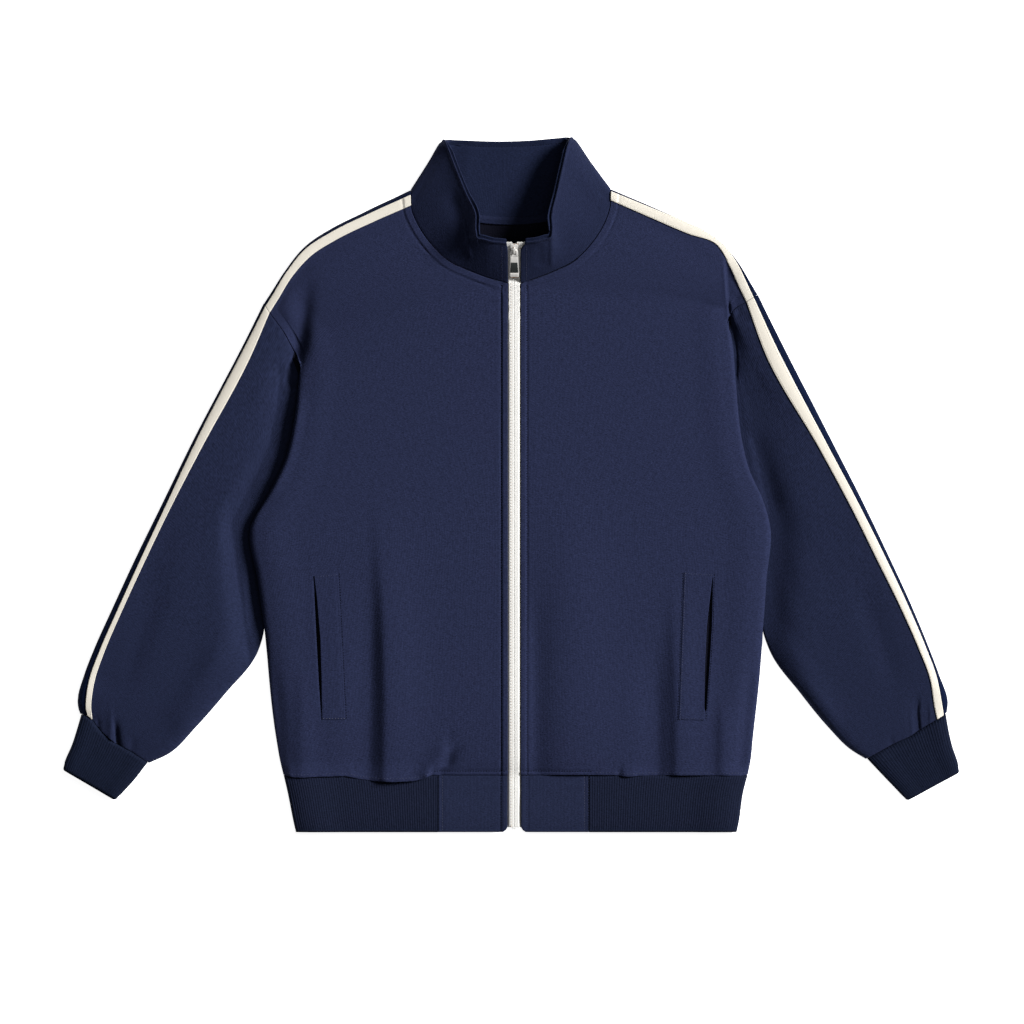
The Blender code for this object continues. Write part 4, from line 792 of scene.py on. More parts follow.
def refine(points, steps, closed=False, corners=False):
    # smooth curves through the points along the first axis, at the given shares of each span
    points = np.asarray(points, float)
    ahead = np.roll(points, -1, axis=0) if closed else points[1:]
    spans = ahead - (points if closed else points[:-1])
    lengths = np.maximum(np.linalg.norm(spans, axis=2, keepdims=True), 1e-6)
    slopes = spans / lengths
    if closed:
        before, after = np.roll(slopes, 1, axis=0), slopes
        lengthBefore, lengthAfter = np.roll(lengths, 1, axis=0), lengths
    else:
        before, after = np.concatenate([slopes[:1], slopes]), np.concatenate([slopes, slopes[-1:]])
        lengthBefore = np.concatenate([lengths[:1], lengths])
        lengthAfter = np.concatenate([lengths, lengths[-1:]])
    smooth = (before * lengthAfter + after * lengthBefore) / (lengthBefore + lengthAfter)
    arriving, leaving = smooth, smooth
    if corners:
        turn = (before * after).sum(axis=2, keepdims=True)
        span = smoothing["cornerFrom"] - smoothing["cornerFull"]
        corner = np.clip((smoothing["cornerFrom"] - turn) / span, 0, 1)
        arriving, leaving = smooth + (before - smooth) * corner, smooth + (after - smooth) * corner
    finer = []
    for index, shares in enumerate(steps):
        after = (index + 1) % len(points)
        for t in shares:
            slope = (t ** 3 - 2 * t * t + t) * leaving[index] + (t ** 3 - t * t) * arriving[after]
            finer.append((2 * t ** 3 - 3 * t * t + 1) * points[index]
                         + (3 * t * t - 2 * t ** 3) * points[after] + lengths[index] * slope)
    finer.append(points[0] if closed else points[-1])
    return np.array(finer)


def evenSteps(points, size, closed=False):
    points = np.asarray(points, float)
    ahead = np.roll(points, -1, axis=0) if closed else points[1:]
    spans = np.linalg.norm(ahead - (points if closed else points[:-1]), axis=2).max(axis=1)
    return [[step / max(1, ceil(span / size)) for step in range(max(1, ceil(span / size)))]
            for span in spans]


def turned(points):
    return np.swapaxes(points, 0, 1)


def finerGrid(grid, rowSize, columnSize, closed=False, rowSteps=None, corners=False):
    # the same surface with more rows and columns
    points = np.asarray(grid, float)
    points = refine(points, rowSteps or evenSteps(points, rowSize), corners=True)
    across = turned(points)
    across = refine(across, evenSteps(across, columnSize, closed), closed=closed, corners=corners)
    return turned(across)


def normalsOf(points, closed=False, facing=1):
    # unit normals; facing is 1 where the highest point faces up, -1 where the lowest faces down
    across, up = np.gradient(points, axis=1), np.gradient(points, axis=0)
    if closed:
        across[:, 0] = across[:, -1] = points[:, 1] - points[:, -2]
    normals = np.cross(across, up)
    normals /= np.maximum(np.linalg.norm(normals, axis=2, keepdims=True), 1e-9)
    heights = points[2:-2, 2:-2, 2] * facing
    row, column = np.unravel_index(np.argmax(heights), heights.shape)
    return normals if normals[row + 2, column + 2, 2] * facing > 0 else -normals


def runLengths(points, axis):
    lengths = np.linalg.norm(np.diff(points, axis=axis), axis=2)
    zero = np.zeros_like(np.take(lengths, [0], axis=axis))
    return np.concatenate([zero, np.cumsum(lengths, axis=axis)], axis=axis)


def clothMap(points):
    # each point's place on the flat cloth: along the middle row, and up the middle column
    return (runLengths(points, 1)[len(points) // 2][None, :].repeat(len(points), axis=0),
            runLengths(points, 0)[:, points.shape[1] // 2][:, None].repeat(points.shape[1], axis=1))


def clothSheet(name, points, material, closed=False, facing=1, slit=None):
    # a grid of faces laid on the points, merged where it closes into a tube
    rows, columns = points.shape[:2]
    mesh = bmesh.new()
    bmesh.ops.create_grid(mesh, x_segments=columns - 1, y_segments=rows - 1, size=0.5)
    across, up = clothMap(points)
    layer = mesh.loops.layers.uv.new("cloth")
    places = {}
    for vert in mesh.verts:
        places[vert] = (round((vert.co.y + 0.5) * (rows - 1)), round((vert.co.x + 0.5) * (columns - 1)))
    for face in mesh.faces:
        for loop in face.loops:
            row, column = places[loop.vert]
            loop[layer].uv = (across[row, column] * mm, up[row, column] * mm)
    for vert, (row, column) in places.items():
        vert.co = points[row, column] * mm
    if slit:
        slit(mesh, places)
    if closed:
        bmesh.ops.remove_doubles(mesh, verts=mesh.verts, dist=1e-7)
    mesh.normal_update()
    top = max(mesh.faces,
              key=lambda face: face.calc_center_median().z * facing + abs(face.normal.z) * 1e-3)
    if top.normal.z * facing < 0:
        bmesh.ops.reverse_faces(mesh, faces=mesh.faces)
    return finished(name, mesh, material)


def finished(name, mesh, material, body="jacket"):
    data = bpy.data.meshes.new(name)
    mesh.to_mesh(data)
    mesh.free()
    data.shade_smooth()
    data.materials.append(material)
    piece = bpy.data.objects.new(name, data)
    bpy.context.scene.collection.objects.link(piece)
    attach(piece, body)
    return piece


def thicken(piece, cloth, edge=0.0, inside=None):
    wall = piece.modifiers.new("wall", "SOLIDIFY")
    wall.thickness = cloth * mm
    if inside:
        piece.data.materials.append(inside)
        wall.material_offset = 1
    wall.offset = -1
    wall.use_quality_normals = True
    if edge:
        rounding = piece.modifiers.new("edges", "BEVEL")
        rounding.width = edge * mm
        rounding.segments = 2
        rounding.limit_method = "ANGLE"
        rounding.angle_limit = radians(60)
        rounding.use_clamp_overlap = False
    return piece


seamLook = {"gap": 0.3, "cloth": 0.4, "least": 0.01, "beyond": 4.8}


def stand(piece, node, slotName, **sheet):
    # the piece takes the place of a node
    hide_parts(node)
    pieces[node] = piece


def seamStrip(name, surface, rows, cloth, beyond, material, closed=False, columns=None):
    # a narrow strip under a seam: beneath the first rows of a piece, and on past its edge
    under = surface[:rows] - normalsOf(surface, closed)[:rows] * (cloth + seamLook["gap"])
    under = under[:, slice(*(columns or (None,)))]
    way = under[0] - under[1]
    way /= np.maximum(np.linalg.norm(way, axis=1, keepdims=True), 1e-6)
    grid = np.concatenate([(under[0] + way * beyond)[None], (under[0] + way * beyond * 0.5)[None], under])
    piece = thicken(clothSheet(name, grid, material, closed=closed), seamLook["cloth"])
    return piece


class Field:
    # a socket that takes part in sums
    def __init__(self, finish, socket):
        self.finish, self.socket = finish, socket

    def maths(self, operation, first, second=None):
        return self.finish.node("ShaderNodeMath", {"operation": operation}, {0: first, 1: second})

    def __add__(self, other):
        return self.maths("ADD", self, other)

    def __radd__(self, other):
        return self.maths("ADD", other, self)

    def __sub__(self, other):
        return self.maths("SUBTRACT", self, other)

    def __rsub__(self, other):
        return self.maths("SUBTRACT", other, self)

    def __mul__(self, other):
        return self.maths("MULTIPLY", self, other)

    def __rmul__(self, other):
        return self.maths("MULTIPLY", other, self)

    def sine(self):
        return self.maths("SINE", self)

    def size(self):
        return self.maths("ABSOLUTE", self)


class Finish:
    def __init__(self, name, **constants):
        self.material = bpy.data.materials.new(name)
        self.material.use_nodes = True
        self.tree = self.material.node_tree
        self.surface = self.tree.nodes["Principled BSDF"]
        for socket, value in constants.items():
            self.surface.inputs[socket.replace("_", " ")].default_value = value

    def node(self, kind, settings=None, sockets=None, output=0):
        node = self.tree.nodes.new(kind)
        for key, value in (settings or {}).items():
            setattr(node, key, value)
        for key, value in (sockets or {}).items():
            if isinstance(value, Field):
                self.tree.links.new(value.socket, node.inputs[key])
            elif value is not None:
                node.inputs[key].default_value = value
        return Field(self, node.outputs[output])

    def noise(self, place, scale, detail=2.0, rough=0.5):
        return self.node("ShaderNodeTexNoise", {"noise_dimensions": "3D"},
                         {"Vector": place, "Scale": scale, "Detail": detail, "Roughness": rough})

    def scaled(self, place, factors):
        return self.node("ShaderNodeVectorMath", {"operation": "MULTIPLY"}, {0: place, 1: factors})

    def parts(self, place):
        # how far along and how far up the cloth a place lies
        split = self.node("ShaderNodeSeparateXYZ", None, {0: place}).socket.node
        return Field(self, split.outputs[0]), Field(self, split.outputs[1])

    def objectPlace(self):
        return self.node("ShaderNodeTexCoord", None, None, output=3)

    def feed(self, socket, value):
        self.tree.links.new(value.socket, self.surface.inputs[socket])

    def shaded(self, colour, shade):
        self.feed("Base Color", self.node("ShaderNodeVectorMath", {"operation": "SCALE"},
                                          {0: colour, "Scale": shade}))

    def relief(self, height, depth):
        self.feed("Normal", self.node("ShaderNodeBump", None,
                                      {"Strength": 1.0, "Distance": depth * mm, "Height": height}))


# Cloth finishes: colour, how far it strays lighter and darker, and its sheen.
clothLooks = {
    "knit": {"colour": (0.0149, 0.0190, 0.0482), "stray": 0.95, "sheen": 0.03},
    # the sleeves' knit: the body's knit darkened, painted shade where the light falls off
    "sleeveShadedKnit": {"colour": (0.0109, 0.0146, 0.0372), "stray": 0.84, "sheen": 0.03},
    # the band past the stripe: the same knit darkened, painted shade where it turns away from the light
    "bandShadedKnit": {"colour": (0.0020, 0.0052, 0.0210), "stray": 0.40, "sheen": 0.0},
    # the collar's two layers: copies of the knit darkened, painted shade on the standing collar and inside it
    "collarShadedKnit": {"colour": (0.0090, 0.0122, 0.0320), "stray": 0.84, "sheen": 0.03},
    "liningShadedKnit": {"colour": (0.0088, 0.0126, 0.0330), "stray": 0.80, "sheen": 0.02},
    "tabKnit": {"colour": (0.0125, 0.0165, 0.0405), "stray": 0.80, "sheen": 0.03},
    "ribKnit": {"colour": (0.0071, 0.0097, 0.0232), "stray": 0.8, "sheen": 0.0},
    "cuffKnit": {"colour": (0.0056, 0.0083, 0.0202), "stray": 0.8, "sheen": 0.0},
    # a near-black copy of the knit: painted shade for insides, gaps and slits that lie in shadow
    "paintedShadeKnit": {"colour": (0.0042, 0.0046, 0.0100), "stray": 0.2, "sheen": 0.0},
}
# Wales and courses are to the metre; the wander bends their rows, the depths are shares of the relief.
knitLook = {"wales": 620, "courses": 800, "relief": 0.22, "rough": 0.88, "gloss": 0.05, "sheenRough": 0.4,
            "sheenTint": (0.55, 0.62, 1.0, 1.0), "slant": 38, "streaks": (330.0, 760.0, 1.0), "mottle": 170.0,
            "streakShare": 0.7, "waleWander": 9.0, "courseWander": (1.2, 6.0),
            "waleDepth": 0.22, "courseDepth": 0.16, "streakDepth": 1.6}


def clothFinish(name):
    look = clothLooks[name]
    finish = Finish(name, Roughness=knitLook["rough"], Sheen_Weight=look["sheen"],
                    Sheen_Roughness=knitLook["sheenRough"], Sheen_Tint=knitLook["sheenTint"],
                    Specular_IOR_Level=knitLook["gloss"])
    place = finish.node("ShaderNodeUVMap", {"uv_map": "cloth"})
    slanted = finish.node("ShaderNodeMapping", None, {
        "Vector": place, "Rotation": (0.0, 0.0, radians(knitLook["slant"])), "Scale": knitLook["streaks"]})
    streaks = finish.noise(slanted, 1.0, 2.0, 0.6)
    mottle = finish.noise(place, knitLook["mottle"], 3.0, 0.6)
    blend = streaks * knitLook["streakShare"] + mottle * (1 - knitLook["streakShare"])
    finish.shaded(look["colour"], (blend - 0.5) * (2 * look["stray"]) + 1.0)
    wide, long = finish.parts(place)
    wale = (wide * (2 * pi * knitLook["wales"]) + mottle * knitLook["waleWander"]).sine()
    byWale, byStreak = knitLook["courseWander"]
    course = (long * (2 * pi * knitLook["courses"]) + wale * byWale + streaks * byStreak).sine()
    rows = wale * knitLook["waleDepth"] + course * knitLook["courseDepth"]
    finish.relief(rows + streaks * knitLook["streakDepth"], knitLook["relief"])
    return finish.material


tapeLook = {"colours": {"stripeTape": (0.640, 0.600, 0.525), "zipTape": (0.660, 0.650, 0.625)},
            "stray": 0.10, "rough": 0.7, "sheen": 0.05, "gloss": 0.3, "ribs": 900.0,
            "grain": (260.0, 900.0, 1.0), "relief": 0.12, "weaveDepth": 0.4}


def tapeFinish(name):
    finish = Finish(name, Roughness=tapeLook["rough"], Sheen_Weight=tapeLook["sheen"],
                    Specular_IOR_Level=tapeLook["gloss"])
    place = finish.node("ShaderNodeUVMap", {"uv_map": "cloth"})
    grain = finish.noise(finish.scaled(place, tapeLook["grain"]), 1.0, 2.0, 0.5)
    finish.shaded(tapeLook["colours"][name], (grain - 0.5) * tapeLook["stray"] + 1.0)
    wide, long = finish.parts(place)
    weave = ((wide.size() + long) * (2 * pi * tapeLook["ribs"])).sine()
    finish.relief(weave * tapeLook["weaveDepth"] + grain, tapeLook["relief"])
    return finish.material


finishes = {name: clothFinish(name) for name in clothLooks}
finishes.update((name, tapeFinish(name)) for name in tapeLook["colours"])
plainLooks = {"thread": {"colour": (0.0200, 0.0250, 0.0620, 1.0), "gloss": 0.5},
              # near-black thread: the thread's colour darkened into painted shade of its stitch holes
              "threadAndStitchShade": {"colour": (0.0008, 0.0010, 0.0024, 1.0), "gloss": 0.04},
              "paleThread": {"colour": (0.09, 0.09, 0.10, 1.0), "gloss": 0.5},
              "tanThread": {"colour": (0.45, 0.36, 0.28, 1.0), "gloss": 0.5},
              "bronze": {"colour": (0.20, 0.105, 0.055, 1.0), "gloss": 0.5}}
for name, look in plainLooks.items():
    finishes[name] = Finish(name, Roughness=0.6, Base_Color=look["colour"],
                            Specular_IOR_Level=look["gloss"]).material
metalLook = {"colour": (0.74, 0.72, 0.69, 1.0), "metallic": 0.25, "rough": 0.22, "stray": 0.2, "grain": 900.0}
metal = Finish("paleMetal", Metallic=metalLook["metallic"], Base_Color=metalLook["colour"])
grain = metal.noise(metal.objectPlace(), metalLook["grain"])
metal.feed("Roughness", grain * metalLook["stray"] + metalLook["rough"])
inlayLook = {"colour": (0.018, 0.022, 0.022, 1.0), "rough": 0.5, "grain": 1500.0, "relief": 0.15}
inlay = Finish("darkInlay", Roughness=inlayLook["rough"], Base_Color=inlayLook["colour"])
inlay.relief(inlay.noise(inlay.objectPlace(), inlayLook["grain"]), inlayLook["relief"])
finishes["metal"], finishes["inlay"] = metal.material, inlay.material
print("finishes made")


bodyLook = {
    "rowSize": 3.4, "columnSize": 3.4, "zipSeam": 7.1, "neckSeam": 8.6, "hemSeam": 4.6, "seamRise": 0.8,
    "seamDip": 1.15, "dipWidth": 1, "edge": 0.6, "zipTop": 236, "neckLow": 230, "hemTop": -300,
    "firstWidth": 72,
    "nearZip": (0, 1.1, 2.2, 3.3, 4.4, 5.4, 6.2, 7, 7.8, 8.6, 9.6, 11, 13, 15.5, 18.5, 21.5, 25,
                28.5, 32, 35.5, 39, 42.5, 46, 49.5, 53, 56.5, 60, 63.5, 67, 70.5),
    "nearHem": (0, 0.06, 0.13, 0.2, 0.26, 0.32, 0.4, 0.52, 0.66, 0.82),
    "blouseLift": 3, "blouseReach": 15,
    "blouse": {"left": ((-262, 0), (-252, 2.5), (-243, 3.4), (-225, 2.4), (-203, 1.8),
                        (-190, 1.6), (-174, 5), (-157, 7.4), (-134, 8.2), (-111, 7),
                        (-99, 4), (-91, 0)),
               "right": ((92, 0), (103, 0.4), (119, 0.4), (134, 2.4), (148, 1.2),
                         (171, 0.6), (217, 0.6), (263, 1.2), (272, 0))},
    "slitFade": 24, "slitReach": 26,
    "foldFrom": {"left": (-60, 156), "right": (-56, 205)}, "foldReach": 14, "foldTight": 1.7,
    "foldFade": (30, 16), "stripeFlat": 0.3, "stripeFade": (6, 40), "pucker": 0.4, "puckerRow": 1.9,
    "puckerWidth": 1.5, "puckerWaves": (2.3, 13, 1.9, 0.8),
    # how far past a seam its doubled edge ends, and over what length it fades
    "riseEnd": (0.6, 1.6), "edgeRise": (0.92, 0.22), "tabEnd": (6, 8),
}


def seamRelief(distance, setback):
    # a doubled edge, its row of stitches pulled in
    before, fade = bodyLook["riseEnd"]
    rise = bodyLook["seamRise"] * (1 - softStep((distance - setback + before) / fade))
    return rise - bodyLook["seamDip"] * np.exp(-((distance - setback) / bodyLook["dipWidth"]) ** 2)


def slitLine(side, part, y):
    xs, ys = zip(*pocketCut["pockets"][side][part][::-1])
    return np.interp(y, ys, xs)


def slitMiddle(side, y):
    return (slitLine(side, "slitOut", y) + slitLine(side, "slitIn", y)) / 2


def denseFront(side, coarse):
    points = np.asarray(coarse, float)
    rowSteps = evenSteps(points, bodyLook["rowSize"])
    rowSteps[0] = list(bodyLook["nearHem"])
    finer = refine(points, rowSteps, corners=True)
    across = turned(finer)
    columnSteps = evenSteps(across, bodyLook["columnSize"])
    columnSteps[0] = [distance / bodyLook["firstWidth"] for distance in bodyLook["nearZip"]]
    across = refine(across, columnSteps)
    points = turned(across)
    # the column that the pocket's slit follows
    slitIn = pocketCut["pockets"][side]["slitIn"]
    low, high = slitIn[-1][1], slitIn[0][1]
    middleRow = int(np.argmin(np.abs(points[:, 0, 1] - (low + high) / 2)))
    column = int(np.argmin(np.abs(points[middleRow, :, 0] - slitMiddle(side, (low + high) / 2))))
    y = points[:, column, 1]
    outside = np.maximum(low - y, y - high)
    hold = 1 - softStep(outside / bodyLook["slitFade"])
    shift = (slitMiddle(side, y) - points[:, column, 0]) * hold
    reach = np.exp(-((points[:, :, 0] - points[:, column:column + 1, 0]) / bodyLook["slitReach"]) ** 2)
    points[:, :, 0] += shift[:, None] * reach
    # the slit's lips part, and the cloth beside them moves along
    middleX = slitMiddle(side, y)
    outward, inward = (slitLine(side, part, y) - middleX for part in ("slitOut", "slitIn"))
    points[:, column + 1:, 0] += (outward * hold)[:, None] * reach[:, column + 1:]
    points[:, :column, 0] += (inward * hold)[:, None] * reach[:, :column]
    rows = np.nonzero((y <= high) & (y >= low))[0]
    points = crispFold(side, points)
    x, y, z = parted(points)
    # folds and seams, on what faces up
    facing = np.clip(normalsOf(points)[:, :, 2], 0.0, 1.0) ** 2
    lift = foldLift(x, y, bodyFolds) * facing
    zipX = coarse[0][0][0]
    neckPath = [point for point in points[:, 0, :2] if point[1] > bodyLook["neckLow"]]
    fromZip = np.where(y < bodyLook["zipTop"], np.abs(x - zipX), 99.0)
    fromNeck = nearest(x, y, neckPath)[0]
    edge = np.minimum(np.abs(fromZip - bodyLook["zipSeam"]), np.abs(fromNeck - bodyLook["neckSeam"]))
    inner = np.minimum(fromZip / bodyLook["zipSeam"], fromNeck / bodyLook["neckSeam"])
    part, fade = bodyLook["edgeRise"]
    rise = bodyLook["seamRise"] * (1 - softStep((inner - part) / fade))
    lift += (rise - bodyLook["seamDip"] * np.exp(-(edge / bodyLook["dipWidth"]) ** 2)) * facing
    tabEnd = hemCut["tabEnds"][side][0 if side == "left" else 1]
    past, fade = bodyLook["tabEnd"]
    overTab = softStep((abs(tabEnd - zipX) + past - np.abs(x - zipX)) / fade)
    hemY, atHem = coarse[0][0][1], y < bodyLook["hemTop"]
    lift += seamRelief(y - hemY, bodyLook["hemSeam"]) * overTab * facing * atHem
    # the body blouses over the rib
    table = bodyLook["blouse"][side]
    drop = np.interp(x, *zip(*table))
    share = 1 - softStep((y - hemY) / bodyLook["blouseReach"])
    y -= drop * share * atHem
    atHem = y < bodyLook["hemTop"]
    lift += np.clip(drop / 2.0, 0, 1) * bodyLook["blouseLift"] * share * atHem * facing
    # and its seam puckers
    near, far, stray, depth = bodyLook["puckerWaves"]
    pucker = 1 + np.sin(x / near + stray * np.sin(x / far)) * depth
    fromRow = (y + drop * share - hemY - bodyLook["puckerRow"]) / bodyLook["puckerWidth"]
    lift += bodyLook["pucker"] * pucker * (np.exp(-fromRow ** 2) * np.clip(drop, 0, 1)) * atHem * facing
    z += lift
    return points, column, rows, rowSteps


def crispFold(side, points):
    # the fold over the sleeve turns over tightly
    x, y, _ = parted(points)
    at = np.argmax(np.abs(x), axis=1)
    rows = np.arange(len(x))
    edgeX, edgeY = x[rows, at][:, None], y[rows, at][:, None]
    low, high = bodyLook["foldFrom"][side]
    fadeLow, fadeHigh = bodyLook["foldFade"]
    hold = softStep((edgeY - low) / fadeLow) * softStep((high - edgeY) / fadeHigh)
    hold = hold * (np.arange(x.shape[1])[None, :] < at[:, None])
    reach, way = bodyLook["foldReach"], np.sign(edgeX)
    inset = np.clip((edgeX - x) * way, 0, reach)
    x += hold * way * (inset - reach * (inset / reach) ** bodyLook["foldTight"])
    return points


def slitCutter(side, column, rows):
    # opens the grid along the slit and parts its two lips

    def cut(mesh, places):
        at = {place: vert for vert, place in places.items()}
        line = [at[(row, column)] for row in range(rows[0], rows[-1] + 1)]
        edges = [edge for edge in map(mesh.edges.get, zip(line, line[1:])) if edge]
        before = set(mesh.verts)
        bmesh.ops.split_edges(mesh, edges=edges)
        lips = set(line[1:-1]) | (set(mesh.verts) - before)
        for vert in lips:
            middle = sum(face.calc_center_median().x for face in vert.link_faces) / len(vert.link_faces)
            lip = "slitOut" if (middle - vert.co.x) * outward[side] > 0 else "slitIn"
            vert.co.x = float(slitLine(side, lip, vert.co.y / mm)) * mm
    return cut


fronts = {side: frontGrid(side) for side in outward}
back = backGrid(fronts)
dense, pieces = {}, {}
for side in outward:
    name = "front_" + side
    points, column, rows, rowSteps = denseFront(side, fronts[side])
    dense[name] = points
    starts = np.cumsum([0] + [len(steps) for steps in rowSteps])
    panelRows = len(bodyCut["frontRows"][side])
    first = starts[panelRows + shoulderCut["stripeSteps"][0]]
    last = starts[panelRows + shoulderCut["stripeSteps"][-1]]
    # the shoulder lies flatter under its stripe, and as it was at the armhole
    fromArmhole = np.linalg.norm(points[first] - points[first, -1], axis=1)
    near, fade = bodyLook["stripeFade"]
    hold = softStep((fromArmhole - near) / fade) * (1 - bodyLook["stripeFlat"])
    under = points[first:last + 1, :, 2]
    raised = (under[:1] - under) * hold
    under += raised
    count = len(points) - last
    points[last + 1:, :, 2] += (raised[-1] * (1 - np.arange(count) / max(count - 1, 1))[:, None])[1:]
    piece = clothSheet("frontPanel_" + side, points, finishes["knit"], slit=slitCutter(side, column, rows))
    # the rows past the stripe take the darkened band knit: painted shade
    piece.data.materials.append(finishes["bandShadedKnit"])
    for face in piece.data.polygons:
        if face.index // (points.shape[1] - 1) >= last:
            face.material_index = 1
    thicken(piece, bodyCut["cloth"], bodyLook["edge"])
    stand(piece, name, "body_knit", flat=(0.30, 0.70), area=0.172, held="laid", rests_on=["back"])
    # the stripe on the shoulder lies on the panel's own surface
    dense["stripe_shoulder_" + side] = turned(points[first:last + 1] + normalsOf(points)[first:last + 1] * (
        seamCut["seamGap"] + shoulderCut["stripeCloth"]))
print("fronts made")


backLook = {
    "rowSize": 6.0, "columnSize": 6.0, "edge": 0.5,
    "hollows": (
        (((-150, -250), (-120, -120), (-130, 20)), 1.6, 30, 26, 0.4, 0.4),
        (((60, -280), (90, -160), (70, -60)), 1.4, 24, 30, 0.4, 0.4),
        (((190, -60), (150, 60), (120, 150)), 1.5, 22, 22, 0.4, 0.4),
        (((-60, 60), (-90, 150), (-150, 210)), 1.3, 20, 26, 0.4, 0.4),
        (((-20, -200), (10, -90)), 1.0, 18, 24, 0.4, 0.4),
        (((220, -300), (226, -220)), 1.2, 16, 10, 0.2, 0.5),
        (((-236, -320), (-228, -240)), 1.2, 10, 14, 0.2, 0.5),
    ),
}
points = finerGrid(back, backLook["rowSize"], backLook["columnSize"], corners=True)
flatness = np.clip(-normalsOf(points, facing=-1)[:, :, 2], 0, 1) ** 2
x, y, z = parted(points)
z[:] = np.maximum(z, 0) + foldLift(x, y, backLook["hollows"]) * flatness
piece = clothSheet("backPanel", points, finishes["knit"], facing=-1)
# its inside takes the near-black knit: painted shade inside the body, seen through the neck
thicken(piece, bodyCut["cloth"], backLook["edge"], finishes["paintedShadeKnit"])
stand(piece, "back", "body_knit", flat=(0.60, 0.68), area=0.350, held="laid")
print("back made")


sleeveLook = {
    "rowSize": 3.7, "columnSize": 3.7, "edge": 0.5, "band": 4, "tapeBeyond": 3.4,
    "release": {"left": 20.0, "right": 60.0}, "hollow": {"left": 5.5, "right": 0.0}, "hollowFade": 8.0,
    "upTo": 0.75, "within": 330, "high": 16.0, "strictBelow": 0.6, "soften": 14,
    "fill": (((266.5, 106.4), (264.2, 125.9), (262.5, 143.2), (260.2, 160.4), (257.9, 180.0), (256.7, 191.5)),
             3.6, 3.0, 13, 0.3, 0.12),
    "smooth": {"left": (), "right": ((270.0, 140.0, 30.0, 50),)},
    # the cuff seam rises at the sleeve's outer edge, on the sleeve and the cuff alike
    "pulls": {"left": ((-489.0, -275.0, 2.4, 6.5, 13.0), (-455.0, -293.0, -1.0, -2.0, 14.0)),
              "right": ((500.0, -264.0, 0.0, 1.5, 10.0), (459.0, -290.0, 1.0, -1.5, 12.0))},
}


def denseSleeve(side):
    coarse = np.asarray(sleeveGrid(side, armholePoints(side, fronts[side])), float)
    points = refine(coarse, evenSteps(coarse, sleeveLook["rowSize"]), corners=True)
    across = turned(points)
    columnSteps = evenSteps(across, sleeveLook["columnSize"], closed=True)
    points = turned(refine(across, columnSteps, closed=True))
    facing = np.clip(normalsOf(points, closed=True)[:, :, 2], 0, 1) ** 2
    xs, ys, zs = parted(points)
    zs += foldLift(xs, ys, sleeveFolds) * facing
    # under and beside the body's fold the sleeve stays low
    foldEnd, low = frontRows(side)[bodyCut["foldEndRow"][side]]["outY"], seamCut["tuckTop"]
    cut, strict = np.zeros(points.shape[:2]), np.zeros(points.shape[:2], bool)
    reach, hollow = sleeveLook["release"][side], sleeveLook["hollow"][side]
    for index in np.ndindex(int(len(points) * sleeveLook["upTo"]), points.shape[1]):
        x, y, z = points[index]
        if z > low and abs(x) < sleeveLook["within"]:
            release = float(softStep((y - foldEnd + reach) / reach))
            most = besideBody(side, x, y, sleeveLook["high"])
            if hollow:
                # the hollow in the fold's shade stays wide and low
                most = low + (most - low) * float(softStep((most - low - hollow) / sleeveLook["hollowFade"]))
            strict[index] = most < low + sleeveLook["strictBelow"]
            cut[index] = min(0.0, (most - z) * (1 - release))
    soft = cut
    for _ in range(sleeveLook["soften"]):
        soft = levelled(soft)
    zs += np.where(strict, np.minimum(cut, soft), soft)
    zs += foldLift(xs, ys, (sleeveLook["fill"],)) * facing
    # no crease where the hollow ends
    for x, y, reach, passes in sleeveLook["smooth"][side]:
        hold = nearness(points, x, y, reach) * ~strict * (zs > low)
        hold[:1] = hold[-1:] = hold[:, :1] = hold[:, -1:] = 0
        for _ in range(passes):
            zs += (levelled(zs) - zs) * hold
    points = pulled(points, sleeveLook["pulls"][side])
    starts = np.cumsum([0] + [len(steps) for steps in columnSteps])
    last = len(shoulderCut["shoulderSteps"]) - 1
    return points, starts[last - shoulderCut["stripeSteps"][-1]], starts[last - shoulderCut["stripeSteps"][0]]


def isOutside(points, column):
    # whether the columns past this one are nearer the sleeve's outer edge
    row = points[len(points) // 2]
    return abs(row[column + 2][0]) > abs(row[column][0])


for side in outward:
    points, low, high = denseSleeve(side)
    bandStart = high if isOutside(points, high) else low - sleeveLook["band"]
    # the sleeve takes a darkened copy of the knit: painted shade
    piece = clothSheet("sleevePanel_" + side, points, finishes["sleeveShadedKnit"], closed=True)
    # the band past the stripe takes the darkened band knit: painted shade
    piece.data.materials.append(finishes["bandShadedKnit"])
    columns = points.shape[1] - 1
    band = {index % columns for index in range(bandStart, bandStart + sleeveLook["band"])}
    for face in piece.data.polygons:
        if face.index % columns in band:
            face.material_index = 1
    thicken(piece, sleeveCut["cloth"], sleeveLook["edge"])
    stand(piece, "sleeve_" + side, "sleeve_knit", flat=(0.53, 0.53), area=0.133, held="laid")
    # a near-black strip under the armhole seam: painted shade in the seam
    seamStrip("armholeShadeStrip_" + side, points, 3, sleeveCut["cloth"], sleeveLook["tapeBeyond"],
              finishes["paintedShadeKnit"], closed=True)
    normals = normalsOf(points, closed=True)
    dense["stripe_sleeve_" + side] = points[:, low:high + 1] + normals[:, low:high + 1] * (
        seamCut["seamGap"] + shoulderCut["stripeCloth"])
print("sleeves made")


def evenColumns(points, count):
    # the same strip with columns at equal distances along its middle row
    lengths = runLengths(points, 1)[len(points) // 2]
    places = np.interp(np.linspace(0, lengths[-1], count + 1), lengths, np.arange(len(lengths)))
    low = np.minimum(places.astype(int), points.shape[1] - 2)
    part = (places - low)[None, :, None]
    return points[:, low] * (1 - part) + points[:, low + 1] * part


ribLook = {"pitch": 2.75, "depth": 0.48, "profile": (1.0, 0.35, 0.0, 0.35), "rowSize": 5.4, "fine": 0.8,
           "bead": 4.0, "beadDepth": 0.1}


